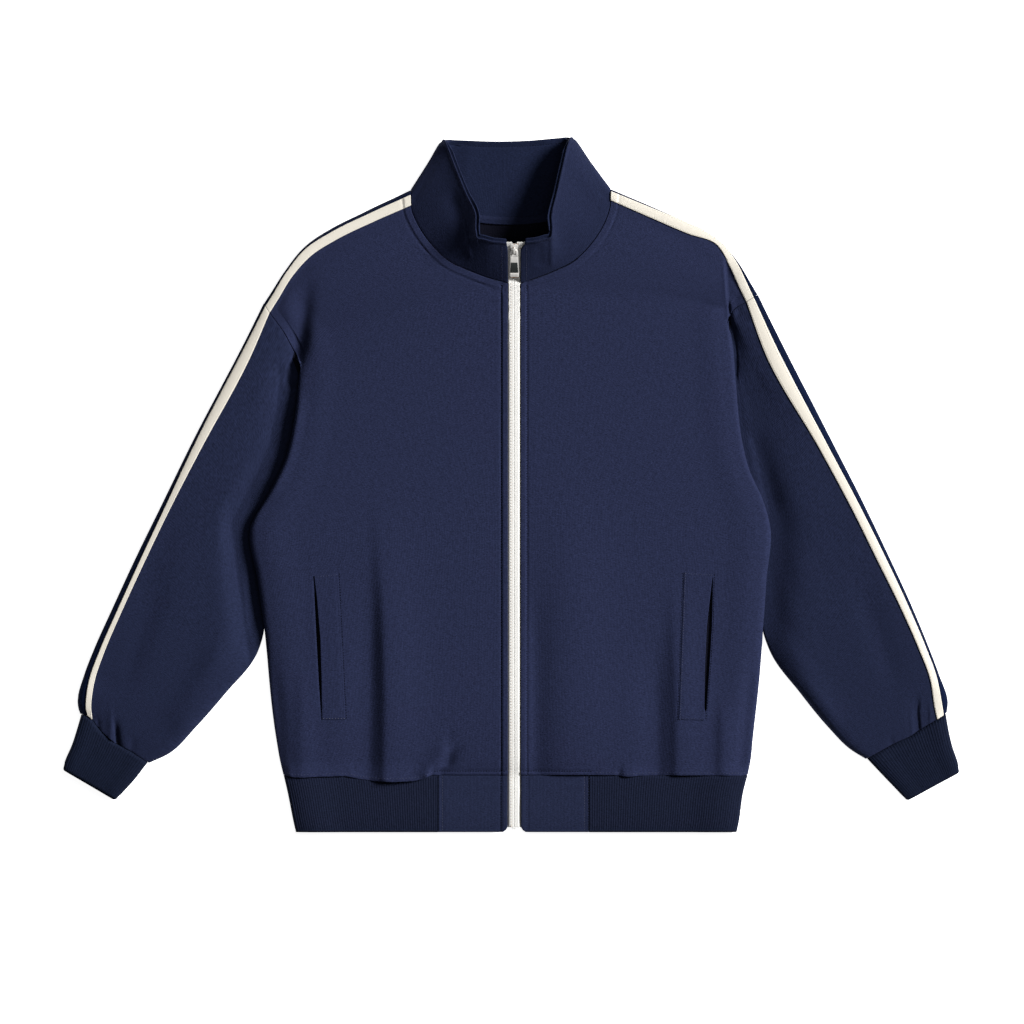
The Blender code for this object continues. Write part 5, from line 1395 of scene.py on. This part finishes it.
def ribbed(grid, closed):
    points = finerGrid(grid, ribLook["rowSize"], ribLook["fine"], closed=closed)
    length = runLengths(points, 1)[len(points) // 2][-1]
    profile = np.array(ribLook["profile"])
    points = evenColumns(points, len(profile) * round(length / ribLook["pitch"]))
    normals = normalsOf(points, closed=closed)
    pattern = profile[np.arange(points.shape[1]) % len(profile)]
    fromEdge = runLengths(points, 0)
    toEdge = fromEdge[-1:] - fromEdge
    hold = softStep(toEdge / ribLook["bead"]) * (1 - ribLook["beadDepth"]) + ribLook["beadDepth"]
    return points - normals * (pattern[None, :] * hold * ribLook["depth"])[:, :, None]


cuffLook = {"corner": 3.6, "longer": 2.8}


def roundCorners(points, radius):
    # the open end's two corners where the tube folds flat, drawn in
    away = (points[-1] - points[0]).mean(axis=0)[:2]
    away /= np.linalg.norm(away)
    far = runLengths(points, 0)
    points[:, :, :2] += away * (cuffLook["longer"] * far / far[-1])[:, :, None]
    x, y, _ = parted(points)
    across = x * -away[1] + y * away[0]
    inset = np.minimum(across - across.min(axis=1, keepdims=True),
                       across.max(axis=1, keepdims=True) - across)
    short = radius - np.sqrt(np.maximum(radius ** 2 - np.maximum(radius - inset, 0) ** 2, 0))
    far = runLengths(points, 0)
    points[:, :, :2] -= away * (short * softStep(1 - (far[-1] - far) / (radius * 3)))[:, :, None]
    return points


for side in outward:
    points = pulled(roundCorners(ribbed(cuffGrid(side), True), cuffLook["corner"]), sleeveLook["pulls"][side])
    piece = clothSheet("cuffRib_" + side, points, finishes["cuffKnit"], closed=True)
    thicken(piece, cuffCut["cloth"])
    # a near-black strip under the cuff seam: painted shade in the seam
    seamStrip("cuffShadeStrip_" + side, points, 2, cuffCut["cloth"], seamLook["beyond"], finishes["paintedShadeKnit"],
              closed=True)
    stand(piece, "cuff_" + side, "cuff_rib", flat=(0.19, 0.060), held="laid")

# the hem's lower edge behind the zip draws up a little
hemLook = {"draw": 6.5, "drawWidth": (26, 16), "drawFrom": -382, "drawFade": 16, "backBelow": 8}
points = ribbed(hemGrid(), False)
wide, fade = hemLook["drawWidth"]
x, y, z = parted(points)
fromZip = softStep((wide - np.abs(x - zipCut["zipX"])) / fade)
low = softStep((hemLook["drawFrom"] - y) / hemLook["drawFade"])
y += hemLook["draw"] * fromZip * low * (z < hemLook["backBelow"])
piece = thicken(clothSheet("hemRib", points, finishes["ribKnit"]), cuffCut["cloth"])
stand(piece, "hem_rib", "hem_rib_knit", flat=(0.90, 0.066), held="folded")
# a near-black strip under the hem seam: painted shade in the seam
seamStrip("hemShadeStrip", points, 2, cuffCut["cloth"], seamLook["beyond"], finishes["paintedShadeKnit"])

tabLook = {"size": 1.6, "seam": 0.8, "ribSeam": 5.2, "ribDip": 0.5, "dipWidth": 0.9, "edge": 0.6,
           "corner": (1.9, 2.1, 3.6)}
for side in outward:
    points = finerGrid(tabGrid(side), tabLook["size"], tabLook["size"])
    zipEnd, ribEnd = sorted(hemCut["tabEnds"][side], key=abs)
    x, y, z = parted(points)
    fromZip, fromRib = np.abs(x - zipEnd), np.abs(x - ribEnd)
    z += seamRelief(fromZip, bodyLook["zipSeam"]) * tabLook["seam"]
    dip = np.exp(-((fromRib - tabLook["ribSeam"]) / tabLook["dipWidth"]) ** 2)
    z -= tabLook["ribDip"] * dip
    # its lower corner by the zip is rounded
    moveX, moveY, reach = tabLook["corner"]
    points = pulled(points, ((zipEnd, y.min(), np.sign(ribEnd - zipEnd) * moveX, moveY, reach),))
    piece = clothSheet("hemTab_" + side, points, finishes["tabKnit"])
    thicken(piece, hemCut["tabCloth"], tabLook["edge"])
    fromTop = points if points[0, 0, 1] > points[-1, 0, 1] else points[::-1]
    # a near-black strip under the tab's seam: painted shade in the seam
    seamStrip("tabShadeStrip_" + side, fromTop, 5, hemCut["tabCloth"], seamLook["beyond"], finishes["paintedShadeKnit"])
    stand(piece, "hem_tab_" + side, "tab_knit", flat=(0.080, 0.066), held="laid")
print("ribs and tabs made")


collarLook = {
    "columnSize": 3.0, "edge": 0.5, "frontPart": 0.33, "rowSteps": 12, "rimFrom": 0.75, "rimStep": 0.0208,
    "wings": {"left": -1.8, "right": 5.6}, "wingFrom": 266.0, "wingRun": 11.0, "wingReach": 9.0,
    "wingTop": 285,
    "corners": ((-35.6, 284.6, -3.0, -2.6, 5.0), (42.0, 284.6, 2.8, -2.3, 5.0),
                (-78.5, 396.4, 1.0, -2.4, 5.0), (69.9, 399.8, -1.0, -2.6, 5.0)),
    "taller": 2.2, "tallerFrom": 368, "tallerRun": 24, "rim": 0.9, "rimWidth": 2.6,
    "stitched": 0.7, "stitchRow": 6.3, "stitchWidth": 1.1,
    "peep": 2.3, "peepFrom": 6.0, "peepTop": 392.0, "peepFade": 12,
}
count = collarLook["rowSteps"]
rowSteps = [[index / count for index in range(count)],
            [index / count for index in range(count * 3 // 4)]
            + [collarLook["rimFrom"] + index * collarLook["rimStep"] for index in range(count)]]
points = finerGrid(collarGrid(fronts, back), None, collarLook["columnSize"], rowSteps=rowSteps)
x, y, z = parted(points)
facing = np.clip(normalsOf(points)[:, :, 2], 0, 1)
columns = np.arange(points.shape[1])
frontHalf = np.minimum(columns, columns[::-1]) < points.shape[1] * collarLook["frontPart"]
z += foldLift(x, y, collarFolds) * facing * frontHalf[None, :]
up = softStep((y - collarLook["wingFrom"]) / collarLook["wingRun"])
startX = x.copy()
for side in outward:
    edgeX = collarCut["collarTops"][side][0][0]
    near = np.exp(-((startX - edgeX) / collarLook["wingReach"]) ** 2) * (y < collarLook["wingTop"])
    x += up * near * collarLook["wings"][side]
points = pulled(points, collarLook["corners"])
y += collarLook["taller"] * softStep((y - collarLook["tallerFrom"]) / collarLook["tallerRun"])
normals = normalsOf(points)
toRim = runLengths(points, 0)[-1] - runLengths(points, 0)
rim = collarLook["rim"] * (1 - softStep((toRim - collarLook["rimWidth"] * 0.6) / collarLook["rimWidth"]))
row = (toRim - collarLook["stitchRow"]) / collarLook["stitchWidth"]
apart = collarCut["cloth"] + collarCut["collarGap"] + rim - collarLook["stitched"] * np.exp(-row ** 2)
dense["collar_outer"] = points + normals * rim[:, :, None]
inner = points - normals * apart[:, :, None]
# beside the opening the inner layer shows past the outer one
up = inner[-1] - inner[-3]
up /= np.linalg.norm(up, axis=1, keepdims=True)
opening = frontHalf * softStep((collarLook["peepTop"] - inner[-1, :, 1]) / collarLook["peepFade"])
shown = (opening[None, :] * softStep(1 - toRim / collarLook["peepFrom"]))[:, :, None]
inner += up[None] * shown * collarLook["peep"]
dense["collar_inner"] = inner
# both layers take darkened copies of the knit: painted shade
for part, finish, slotName in (("outer", "collarShadedKnit", "collar_knit"),
                               ("inner", "liningShadedKnit", "collar_lining_knit")):
    piece = clothSheet("collar" + part.capitalize(), dense["collar_" + part], finishes[finish])
    thicken(piece, collarCut["cloth"], collarLook["edge"])
    stand(piece, "collar_" + part, slotName, flat=(0.52, 0.075), held="laid", rests_on=["back"])
# a tape over the neck seam inside, in the sleeves' darkened knit: painted shade
neckLook = {"rows": 3, "start": 6, "beyond": 1.0}
seamStrip("neckTape", inner, neckLook["rows"], collarCut["cloth"], neckLook["beyond"], finishes["sleeveShadedKnit"],
          columns=(neckLook["start"], points.shape[1] - neckLook["start"]))
print("collar made")


stripeLook = {"edge": 0.25, "shoulder": {"left": (0.0115, 0.20), "right": (0.0115, 0.20)},
              "sleeve": {"left": (0.010, 0.53), "right": (0.0112, 0.53)}}
for side in outward:
    for part in ("shoulder", "sleeve"):
        name = "stripe_" + part + "_" + side
        piece = clothSheet("stripe" + part.capitalize() + "_" + side, dense[name], finishes["stripeTape"])
        thicken(piece, shoulderCut["stripeCloth"], stripeLook["edge"])
        under = pieces[("front_" if part == "shoulder" else "sleeve_") + side]
        stand(piece, name, "stripe_tape", flat=stripeLook[part][side], held="laid", rests_on=[under])
print("stripes made")


def surfaceOf(*names):
    graph = bpy.context.evaluated_depsgraph_get()
    return [BVHTree.FromObject(pieces[name], graph) for name in names]


def heightAt(surfaces, x, y):
    heights = []
    for surface in surfaces:
        hit = surface.ray_cast(Vector((x * mm, y * mm, 0.2)), Vector((0, 0, -1)))[0]
        if hit:
            heights.append(hit.z / mm)
    return max(heights) if heights else None


weltLook = {"rows": 60, "columns": 16, "cloth": 0.55, "gap": 0.15, "edge": 0.4, "seam": 1.6, "dip": 0.35,
            "dipWidth": 0.9, "fromLip": 0.12, "passes": 2}
bagLook = {"rows": 37, "columns": 24, "lowest": 12.0, "passes": 6, "edge": 0.3, "gap": 0.3}
for side in outward:
    pocket = pocketCut["pockets"][side]
    slitPath = [pocket["top"][0], *pocket["slitIn"][1:-1], pocket["bottom"][0]]
    seamPath = (pocket["top"][1], pocket["bottom"][1])
    surfaces = surfaceOf("front_" + side)
    rows, columns = weltLook["rows"], weltLook["columns"]
    grid = np.zeros((rows + 1, columns + 1, 3))
    for row, column in np.ndindex(rows + 1, columns + 1):
        start, end = along(slitPath, row / rows), along(seamPath, row / rows)
        x, y = mix(start, end, column / columns)
        inside = mix(start, end, max(column / columns, weltLook["fromLip"]))
        grid[row, column] = (x, y, heightAt(surfaces, *inside) or heightAt(surfaces, x, y))
    height = grid[:, :, 2]
    for _ in range(weltLook["passes"]):
        height[1:-1] = (height[:-2] + height[1:-1] * 2 + height[2:]) / 4
    width = np.hypot(seamPath[0][0] - slitPath[0][0], seamPath[0][1] - slitPath[0][1])
    fromSeam = (1 - np.arange(columns + 1) / columns) * width
    dip = np.exp(-((fromSeam[None, :] - weltLook["seam"]) / weltLook["dipWidth"]) ** 2)
    height += weltLook["gap"] + weltLook["cloth"] - weltLook["dip"] * dip
    front = pieces["front_" + side]
    piece = clothSheet("welt_cloth_" + side, grid, finishes["knit"])
    thicken(piece, weltLook["cloth"], weltLook["edge"])
    stand(piece, "welt_" + side, "welt_knit", flat=(0.028, 0.17), held="laid", rests_on=[front])
    # the bag behind the slit hangs just under the front
    startX, startY = pocket["slitOut"][0]
    rows, columns = bagLook["rows"], bagLook["columns"]
    bag = np.zeros((rows + 1, columns + 1, 3))
    for row, column in np.ndindex(rows + 1, columns + 1):
        x = startX - outward[side] * (column / columns * pocketCut["bagWidth"] - pocketCut["bagBehind"])
        y = startY + pocketCut["bagAbove"] - row / rows * pocketCut["bagLength"]
        bag[row, column] = (x, y, heightAt(surfaces, x, y) or 0.0)
    height = bag[:, :, 2]
    height = np.where(height < bagLook["lowest"], np.median(height), height)
    for _ in range(bagLook["passes"]):
        height = levelled(height)
    bag[:, :, 2] = height - (bodyCut["cloth"] + pocketCut["bagDrop"] + bagLook["gap"])
    # the bag is near-black knit: painted shade in the pocket's slit
    piece = clothSheet("pocketBag_" + side, bag, finishes["paintedShadeKnit"])
    thicken(piece, pocketCut["bagCloth"], bagLook["edge"])
    stand(piece, "pocket_bag_" + side, "pocket_knit", held="hung", rests_on=[front],
          flat=(pocketCut["bagWidth"] * mm, pocketCut["bagLength"] * mm))
print("pockets made")


zipLook = {
    "rowSize": 2.5, "columnSize": 1.5, "edge": 0.25, "flareFrom": 269.0, "flareRun": 5.0,
    "flare": {"left": 1.6, "right": 5.0}, "bulge": 2.8, "bulgeEdge": (7.4, 0.9), "bulgeTop": (236, 6),
    "below": 0.4, "most": 4, "levelFrom": (-250, 30), "edgeColumns": 6, "edgeBulge": 1.6,
    "edgeFrom": (4.6, 1.0), "edgeLow": (232, 6), "edgeHigh": (266, 4),
    "pitch": 1.7, "tooth": (1.9, 0.55, 0.5), "toothSink": 0.36, "toothSlant": 18, "toothOut": 1.1,
    "teethFrom": -396.0, "teethTo": 262.0,
}


def past(values, name):
    # 0 up to a setting's place, 1 beyond its fade
    place, fade = zipLook[name]
    return softStep((values - place) / fade)


def until(values, name):
    place, fade = zipLook[name]
    return softStep((place - values) / fade)


for side in outward:
    grid = np.asarray(tapeGrid(side, fronts["left"]), float)
    points = finerGrid(grid, zipLook["rowSize"], zipLook["columnSize"])
    x, y, z = parted(points)
    share = np.abs(x - zipCut["zipX"]) / zipCut["collarTapeReach"]
    wide = softStep((y - zipLook["flareFrom"]) / zipLook["flareRun"])
    x += outward[side] * wide * share * zipLook["flare"][side]
    # it bulges up between the fronts' edges, nearly to their level
    fromZip = np.abs(x - zipCut["zipX"])
    between = until(fromZip, "bulgeEdge")
    belowCollar = between * until(y, "bulgeTop")
    z += zipLook["bulge"] * belowCollar
    edge = dense["front_left"][:, :zipLook["edgeColumns"]]
    order = np.argsort(edge[:, 0, 1])
    level = np.interp(y, edge[order, 0, 1], edge[order, :, 2].max(axis=1))
    level -= zipLook["below"] + z.max(axis=1, keepdims=True)
    z += np.clip(level, 0, zipLook["most"]) * belowCollar * past(y, "levelFrom")
    # and along its edges inside the collar's lower part
    inCollar = past(y, "edgeLow") * until(y, "edgeHigh")
    z += zipLook["edgeBulge"] * past(fromZip, "edgeFrom") * between * inCollar
    dense["zip_tape_" + side] = points
    piece = clothSheet("zipTape_" + side, points, finishes["zipTape"])
    thicken(piece, zipCut["cloth"], zipLook["edge"])
    stand(piece, "zip_tape_" + side, "zip_tape", flat=(0.016, 0.69), held="laid", rests_on=["back"])
print("zip tapes made")


# one thread bead, copied to every place
beadMesh = bpy.data.meshes.new("bead")
mesh = bmesh.new()
bmesh.ops.create_uvsphere(mesh, u_segments=6, v_segments=4, radius=1.0)
mesh.to_mesh(beadMesh)
mesh.free()


def bead(mesh, matrix):
    copy = beadMesh.copy()
    copy.transform(matrix)
    mesh.from_mesh(copy)
    bpy.data.meshes.remove(copy)


def stitchRun(mesh, path, kind, surfaces=None, lift=0.1):
    # a row of thread beads along a path, laid on the surfaces where the path is only a plan
    pitch, length, thick = stitchLook[kind]
    points = [Vector(point) for point in path]
    if surfaces:
        points = [Vector((point.x, point.y, heightAt(surfaces, point.x, point.y) or 0.0)) for point in points]
    lengths = [0.0]
    for start, end in zip(points, points[1:]):
        lengths.append(lengths[-1] + (end - start).length)
    places = np.arange(pitch / 2, lengths[-1], pitch)
    for place in places:
        ends = []
        for at in (place - length / 2, place + length / 2):
            index = min(max(int(np.searchsorted(lengths, at)), 1), len(lengths) - 1)
            span = max(lengths[index] - lengths[index - 1], 1e-6)
            ends.append(points[index - 1].lerp(points[index], (at - lengths[index - 1]) / span))
        middle = (ends[0] + ends[1]) / 2
        if surfaces:
            height = heightAt(surfaces, middle.x, middle.y)
            if height is None:
                continue
            middle.z = height
        direction = (ends[1] - ends[0]).normalized()
        turn = direction.to_track_quat("X", "Z").to_matrix().to_4x4()
        bead(mesh, Matrix.Translation((middle + Vector((0, 0, lift))) * mm) @ turn
             @ Matrix.Diagonal((length / 2 * mm, thick / 2 * mm, thick / 2 * mm, 1)))


def densePath(path, step=2.0):
    points = [Vector((*point[:2], 0.0)) for point in path]
    finer = []
    for start, end in zip(points, points[1:]):
        count = max(1, ceil((end - start).length / step))
        finer += [start.lerp(end, index / count) for index in range(count)]
    return finer + [points[-1]]


def beside(path, distance):
    # a plan path moved sideways, to the left of the way along it where distance is positive
    path = np.asarray([point[:2] for point in path], float)
    slopes = np.gradient(path, axis=0)
    slopes /= np.linalg.norm(slopes, axis=1, keepdims=True)
    return [(x - dy * distance, y + dx * distance) for (x, y), (dx, dy) in zip(path, slopes)]


# Each kind of row: its pitch, and the length and thickness of a stitch.
stitchLook = {"plain": (3.0, 2.3, 0.5), "zip": (3.0, 1.7, 0.8), "hem": (3.0, 1.9, 1.0),
              "bloused": (3.6, 1.9, 0.5), "tab": (3.0, 3.0, 0.8), "bar": (3.4, 1.5, 0.4),
              "stripe": (3.0, 2.4, 0.45), "collar": (3.0, 2.0, 0.8), "coil": (3.4, 1.6, 0.8)}
rowLook = {"zipLow": -399, "zipHigh": 229, "tabLow": -398, "tabHigh": -336, "collar": (6.6, 234, 271),
           "slit": 1.9, "welt": (-1.6, 1.4), "bar": (1.6, 1.4), "stripe": (0.13, 0.87),
           "collarBack": (0.36, 0.64), "coilTop": 232}
# the dark rows are near-black thread, partly painted shade of their stitch holes
thread, dark, pale, cream, tan = (bmesh.new() for _ in range(5))
for side in outward:
    way = outward[side]
    edgeX, hemY = fronts[side][0][0][:2]
    front = dense["front_" + side]
    surfaces = surfaceOf("front_" + side, "hem_tab_" + side)
    x = edgeX + way * bodyLook["zipSeam"]
    stitchRun(dark, densePath([(x, rowLook["zipLow"]), (x, rowLook["zipHigh"])]), "zip", surfaces, 0.2)
    neck = [point for point in front[:, 0] if point[1] > zipCut["neckSeamY"]]
    stitchRun(thread, beside(neck, way * bodyLook["neckSeam"]), "plain", surfaces)
    tabEnd = hemCut["tabEnds"][side][0 if side == "left" else 1]
    hemY += bodyLook["hemSeam"]
    stitchRun(dark, densePath([(edgeX + way * 2, hemY), (tabEnd + way * 4, hemY)]), "hem", surfaces, 0.3)
    # a row on the bloused seam
    row = [point for point in front[3] if abs(point[0]) > abs(tabEnd) + 6 and point[2] > 8]
    stitchRun(thread, densePath(row), "bloused", surfaces)
    for mesh, kind, inset in ((dark, "tab", 0.5), (thread, "plain", tabLook["ribSeam"])):
        x = tabEnd - way * inset
        stitchRun(mesh, densePath([(x, rowLook["tabLow"]), (x, rowLook["tabHigh"])]), kind, surfaces)
    inset, low, high = rowLook["collar"]
    x = edgeX + way * inset
    stitchRun(thread, densePath([(x, low), (x, high)]), "plain", surfaceOf("collar_outer"))
    # pocket: rows beside the stitched edge and the slit, bars at its ends
    pocket = pocketCut["pockets"][side]
    surfaces = surfaceOf("front_" + side, "welt_" + side)
    seamPath = densePath([pocket["top"][1], pocket["bottom"][1]])
    outer, inner = rowLook["welt"]
    stitchRun(dark, beside(seamPath, way * outer), "plain", surfaces)
    if side == "right":
        stitchRun(thread, beside(seamPath, way * inner), "plain", surfaces)
        slitPath = densePath([pocket["top"][0], *pocket["slitOut"][1:-1], pocket["bottom"][0]])
        stitchRun(dark, beside(slitPath, rowLook["slit"]), "plain", surfaces)
    below, above = rowLook["bar"]
    stitchRun(pale if side == "left" else thread,
              densePath([(x, y + above) for x, y in pocket["bottom"]]), "bar", surfaces)
    stitchRun(thread, densePath([(x, y - below) for x, y in pocket["top"]]), "plain", surfaces)
    for part in ("shoulder", "sleeve"):
        strip = dense["stripe_" + part + "_" + side]
        lifted = strip + normalsOf(strip) * 0.05
        for share in rowLook["stripe"]:
            place = share * (strip.shape[1] - 1)
            low = int(place)
            line = lifted[:, low] * (1 - place + low) + lifted[:, low + 1] * (place - low)
            stitchRun(cream, line, "stripe", lift=0.0)
top = dense["collar_inner"][-1]
start, end = (int(len(top) * share) for share in rowLook["collarBack"])
stitchRun(dark, [(x, y - collarLook["stitchRow"]) for x, y, _ in top[start:end]], "collar",
          surfaceOf("collar_inner"), -0.1)
tapes = surfaceOf("zip_tape_left", "zip_tape_right")
stitchRun(tan, densePath([(0.0, rowLook["tabLow"]), (0.0, rowLook["coilTop"])]), "coil", tapes)
for name, mesh, finish, slotName in (("threadRows", thread, "thread", "body_knit"),
                                     ("threadAndStitchShade", dark, "threadAndStitchShade", "body_knit"),
                                     ("paleThread", pale, "paleThread", "stripe_tape"),
                                     ("stripeThread", cream, "stripeTape", "stripe_tape"),
                                     ("coilThread", tan, "tanThread", "zip_tape")):
    finished(name, mesh, finishes[finish])
teeth = bmesh.new()
line = dense["zip_tape_left"][:, 0]
for y in np.arange(zipLook["teethFrom"], zipLook["teethTo"], zipLook["pitch"]):
    z = float(np.interp(y, line[:, 1], line[:, 2]))
    for way in (-1, 1):
        place = Vector((zipCut["zipX"] + way * zipLook["toothOut"], y + max(way, 0) * zipLook["pitch"] / 2,
                        z - zipLook["toothSink"]))
        slant = Matrix.Rotation(radians(zipLook["toothSlant"] * way), 4, "Z")
        bead(teeth, Matrix.Translation(place * mm) @ slant
             @ Matrix.Diagonal((*(part * mm for part in zipLook["tooth"]), 1)))
finished("zipTeeth", teeth, finishes["zipTape"])
print("stitches and teeth made")


def nodeCopy(name, newName, finish, body, edge):
    # the node's own shape, its edges rounded
    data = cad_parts[name].data.copy()
    mesh = bmesh.new()
    mesh.from_mesh(data)
    bmesh.ops.remove_doubles(mesh, verts=mesh.verts, dist=1e-6)
    bmesh.ops.dissolve_limit(mesh, angle_limit=radians(1), verts=mesh.verts, edges=mesh.edges)
    edges = [side for side in mesh.edges if side.is_manifold and side.calc_face_angle(0) > radians(25)]
    bmesh.ops.bevel(mesh, geom=edges, offset=edge * mm, affect="EDGES", segments=2, profile=0.5, material=-1,
                    clamp_overlap=True)
    piece = finished(newName, mesh, finishes[finish], body)
    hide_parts(name)
    return piece


sliderPiece = nodeCopy("zip_slider", "sliderBody", "metal", "jacket", 0.25)
pullPiece = nodeCopy("zip_pull", "pullTab", "metal", "zip_pull", 0.22)


def sliderPlace():
    # the middle of the slider on the tapes, its own Y up their slope
    ys, zs = zip(*tapeLine(fronts["left"]))
    slope = collarSlope()[1]
    turn = Matrix.Rotation(atan2(slope.y, slope.x), 4, "X")
    height = float(np.interp(pullLook["sliderY"], ys, zs))
    return Matrix.Translation(Vector((zipCut["zipX"], pullLook["sliderY"], height)) * mm) @ turn


def slab(newName, finish, body, place, size, taper=1.0, soft=0.2, bow=0.0):
    # a rounded block, its lower end wider where taper is over 1 and bowed down in the middle
    mesh = bmesh.new()
    bmesh.ops.create_cube(mesh, size=1.0)
    edges = [edge for edge in mesh.edges if abs(edge.verts[0].co.x - edge.verts[1].co.x) > 0.5]
    bmesh.ops.subdivide_edges(mesh, edges=edges, cuts=7, use_grid_fill=True)
    for vert in mesh.verts:
        across = vert.co.x * 2
        vert.co.x *= taper if vert.co.y < 0 else 1.0
        vert.co = Vector((vert.co.x * size[0], vert.co.y * size[1] - bow * (1 - across ** 2),
                          vert.co.z * size[2])) * mm
    edges = [edge for edge in mesh.edges if edge.calc_face_angle(0) > radians(50)]
    bmesh.ops.bevel(mesh, geom=edges, offset=soft * mm, affect="EDGES", segments=2, profile=0.5, material=-1)
    bmesh.ops.transform(mesh, matrix=place @ Matrix.Translation(Vector(size[3:]) * mm), verts=mesh.verts)
    piece = finished(newName, mesh, finishes[finish], body)
    return piece


# on the pull: a pale face, a dark inlay, a raised bar, and a thin bronze block at its end, painted shadow of
# the pull's lower edge
pullLook = {"sliderY": 269.1, "hinge": 2.5,
            "parts": (("pullFace", "metal", (8.4, 20.0, 0.3, 0.0, -18.6, 0.72), 1.12, 0.1, 0.0),
                      ("pullInlay", "inlay", (7.6, 13.4, 0.4, 0.0, -22.2, 0.80), 1.22, 0.12, 0.0),
                      ("pullBar", "metal", (9.8, 5.2, 0.9, 0.0, -31.7, 0.95), 1.0, 0.35, 0.0),
                      ("pullEndShade", "bronze", (9.4, 0.9, 0.8, 0.0, -34.4, 0.75), 1.0, 0.2, 0.5))}
hinge = sliderPlace() @ Matrix.Translation(Vector((0, 0, pullLook["hinge"])) * mm)
for newName, finish, size, taper, soft, bow in pullLook["parts"]:
    slab(newName, finish, "zip_pull", hinge, size, taper, soft, bow)

# on the tapes and the slider: each block's place, width, length and turn; the last is a dark block, painted
# shade in the slider's mouth
stopLook = {"thick": 0.5, "above": 0.12, "soft": 0.15, "height": 42.0,
            "parts": (("stopLeft", "bronze", 3.4, 274.6, 1.5, 1.6, 0.0),
                      ("stopRight", "bronze", 7.0, 274.8, 1.9, 1.6, 0.0),
                      ("rivetLeft", "bronze", 2.9, 270.6, 1.5, 1.2, 20.0),
                      ("rivetRight", "bronze", 10.3, 270.2, 1.6, 1.4, 0.0),
                      ("sliderMouthShade", "inlay", -0.9, 268.9, 1.7, 4.6, 33.0))}
pieces["zip_slider"] = sliderPiece
surfaces = surfaceOf("zip_tape_left", "zip_tape_right", "zip_slider")
for newName, finish, x, y, wide, long, angle in stopLook["parts"]:
    height = heightAt(surfaces, x, y) or stopLook["height"]
    place = Matrix.Translation(Vector((x, y, height)) * mm) @ Matrix.Rotation(radians(angle), 4, "Z")
    slab(newName, finish, "jacket", place,
         (wide, long, stopLook["thick"], 0.0, 0.0, stopLook["above"]), soft=stopLook["soft"])

# camera straight above, the hem towards the viewer
cameraLook = {"lens": 200.0, "sensor": 36.0, "far": 50.0, "width": 1.1776, "x": 0.0009, "y": -0.0316,
              "level": 0.008}
camera = bpy.data.objects.new("camera", bpy.data.cameras.new("camera"))
camera.data.lens = cameraLook["lens"]
camera.data.sensor_width = cameraLook["sensor"]
camera.data.clip_end = cameraLook["far"]
distance = cameraLook["width"] * cameraLook["lens"] / cameraLook["sensor"]
camera.location = (cameraLook["x"], cameraLook["y"], cameraLook["level"] + distance)
bpy.context.scene.collection.objects.link(camera)
bpy.context.scene.camera = camera

floorLook = {"size": 6.0, "level": -0.0002, "colour": (0.90, 0.90, 0.90, 1.0), "rough": 0.9, "gloss": 0.1,
             "glow": 0.9}
floorMesh = bmesh.new()
bmesh.ops.create_grid(floorMesh, x_segments=1, y_segments=1, size=floorLook["size"])
floorData = bpy.data.meshes.new("floor")
floorMesh.to_mesh(floorData)
floorMesh.free()
floor = bpy.data.objects.new("floor", floorData)
floorData.materials.append(Finish("paper", Base_Color=floorLook["colour"], Roughness=floorLook["rough"],
                                  Specular_IOR_Level=floorLook["gloss"], Emission_Color=(1.0, 1.0, 1.0, 1.0),
                                  Emission_Strength=floorLook["glow"]).material)
floor.location.z = floorLook["level"]
bpy.context.scene.collection.objects.link(floor)

lightLook = {"world": 0.105, "sunFrom": (2.3, 0.95, 1.5), "sun": 7.15, "soft": 19,
             "lampFrom": (0.06, 0.10, 0.95), "lamp": 0.85, "lampSize": 0.5}
world = bpy.data.worlds.new("studio")
world.use_nodes = True
background = world.node_tree.nodes["Background"].inputs
background[0].default_value = (1.0, 1.0, 1.0, 1.0)
background[1].default_value = lightLook["world"]
bpy.context.scene.world = world
for name, kind in (("sun", "SUN"), ("lamp", "AREA")):
    lamp = bpy.data.objects.new(name, bpy.data.lights.new(name, kind))
    lamp.data.energy = lightLook[name]
    lamp.location = lightLook[name + "From"]
    lamp.rotation_euler = Vector(lightLook[name + "From"]).to_track_quat("Z", "Y").to_euler()
    lamp.visible_camera = False
    bpy.context.scene.collection.objects.link(lamp)
    if kind == "SUN":
        lamp.data.angle = radians(lightLook["soft"])
    else:
        lamp.data.size = lightLook["lampSize"]
bpy.context.scene.view_settings.view_transform = "Standard"
bpy.data.meshes.remove(beadMesh)
print("camera, floor and lights made")
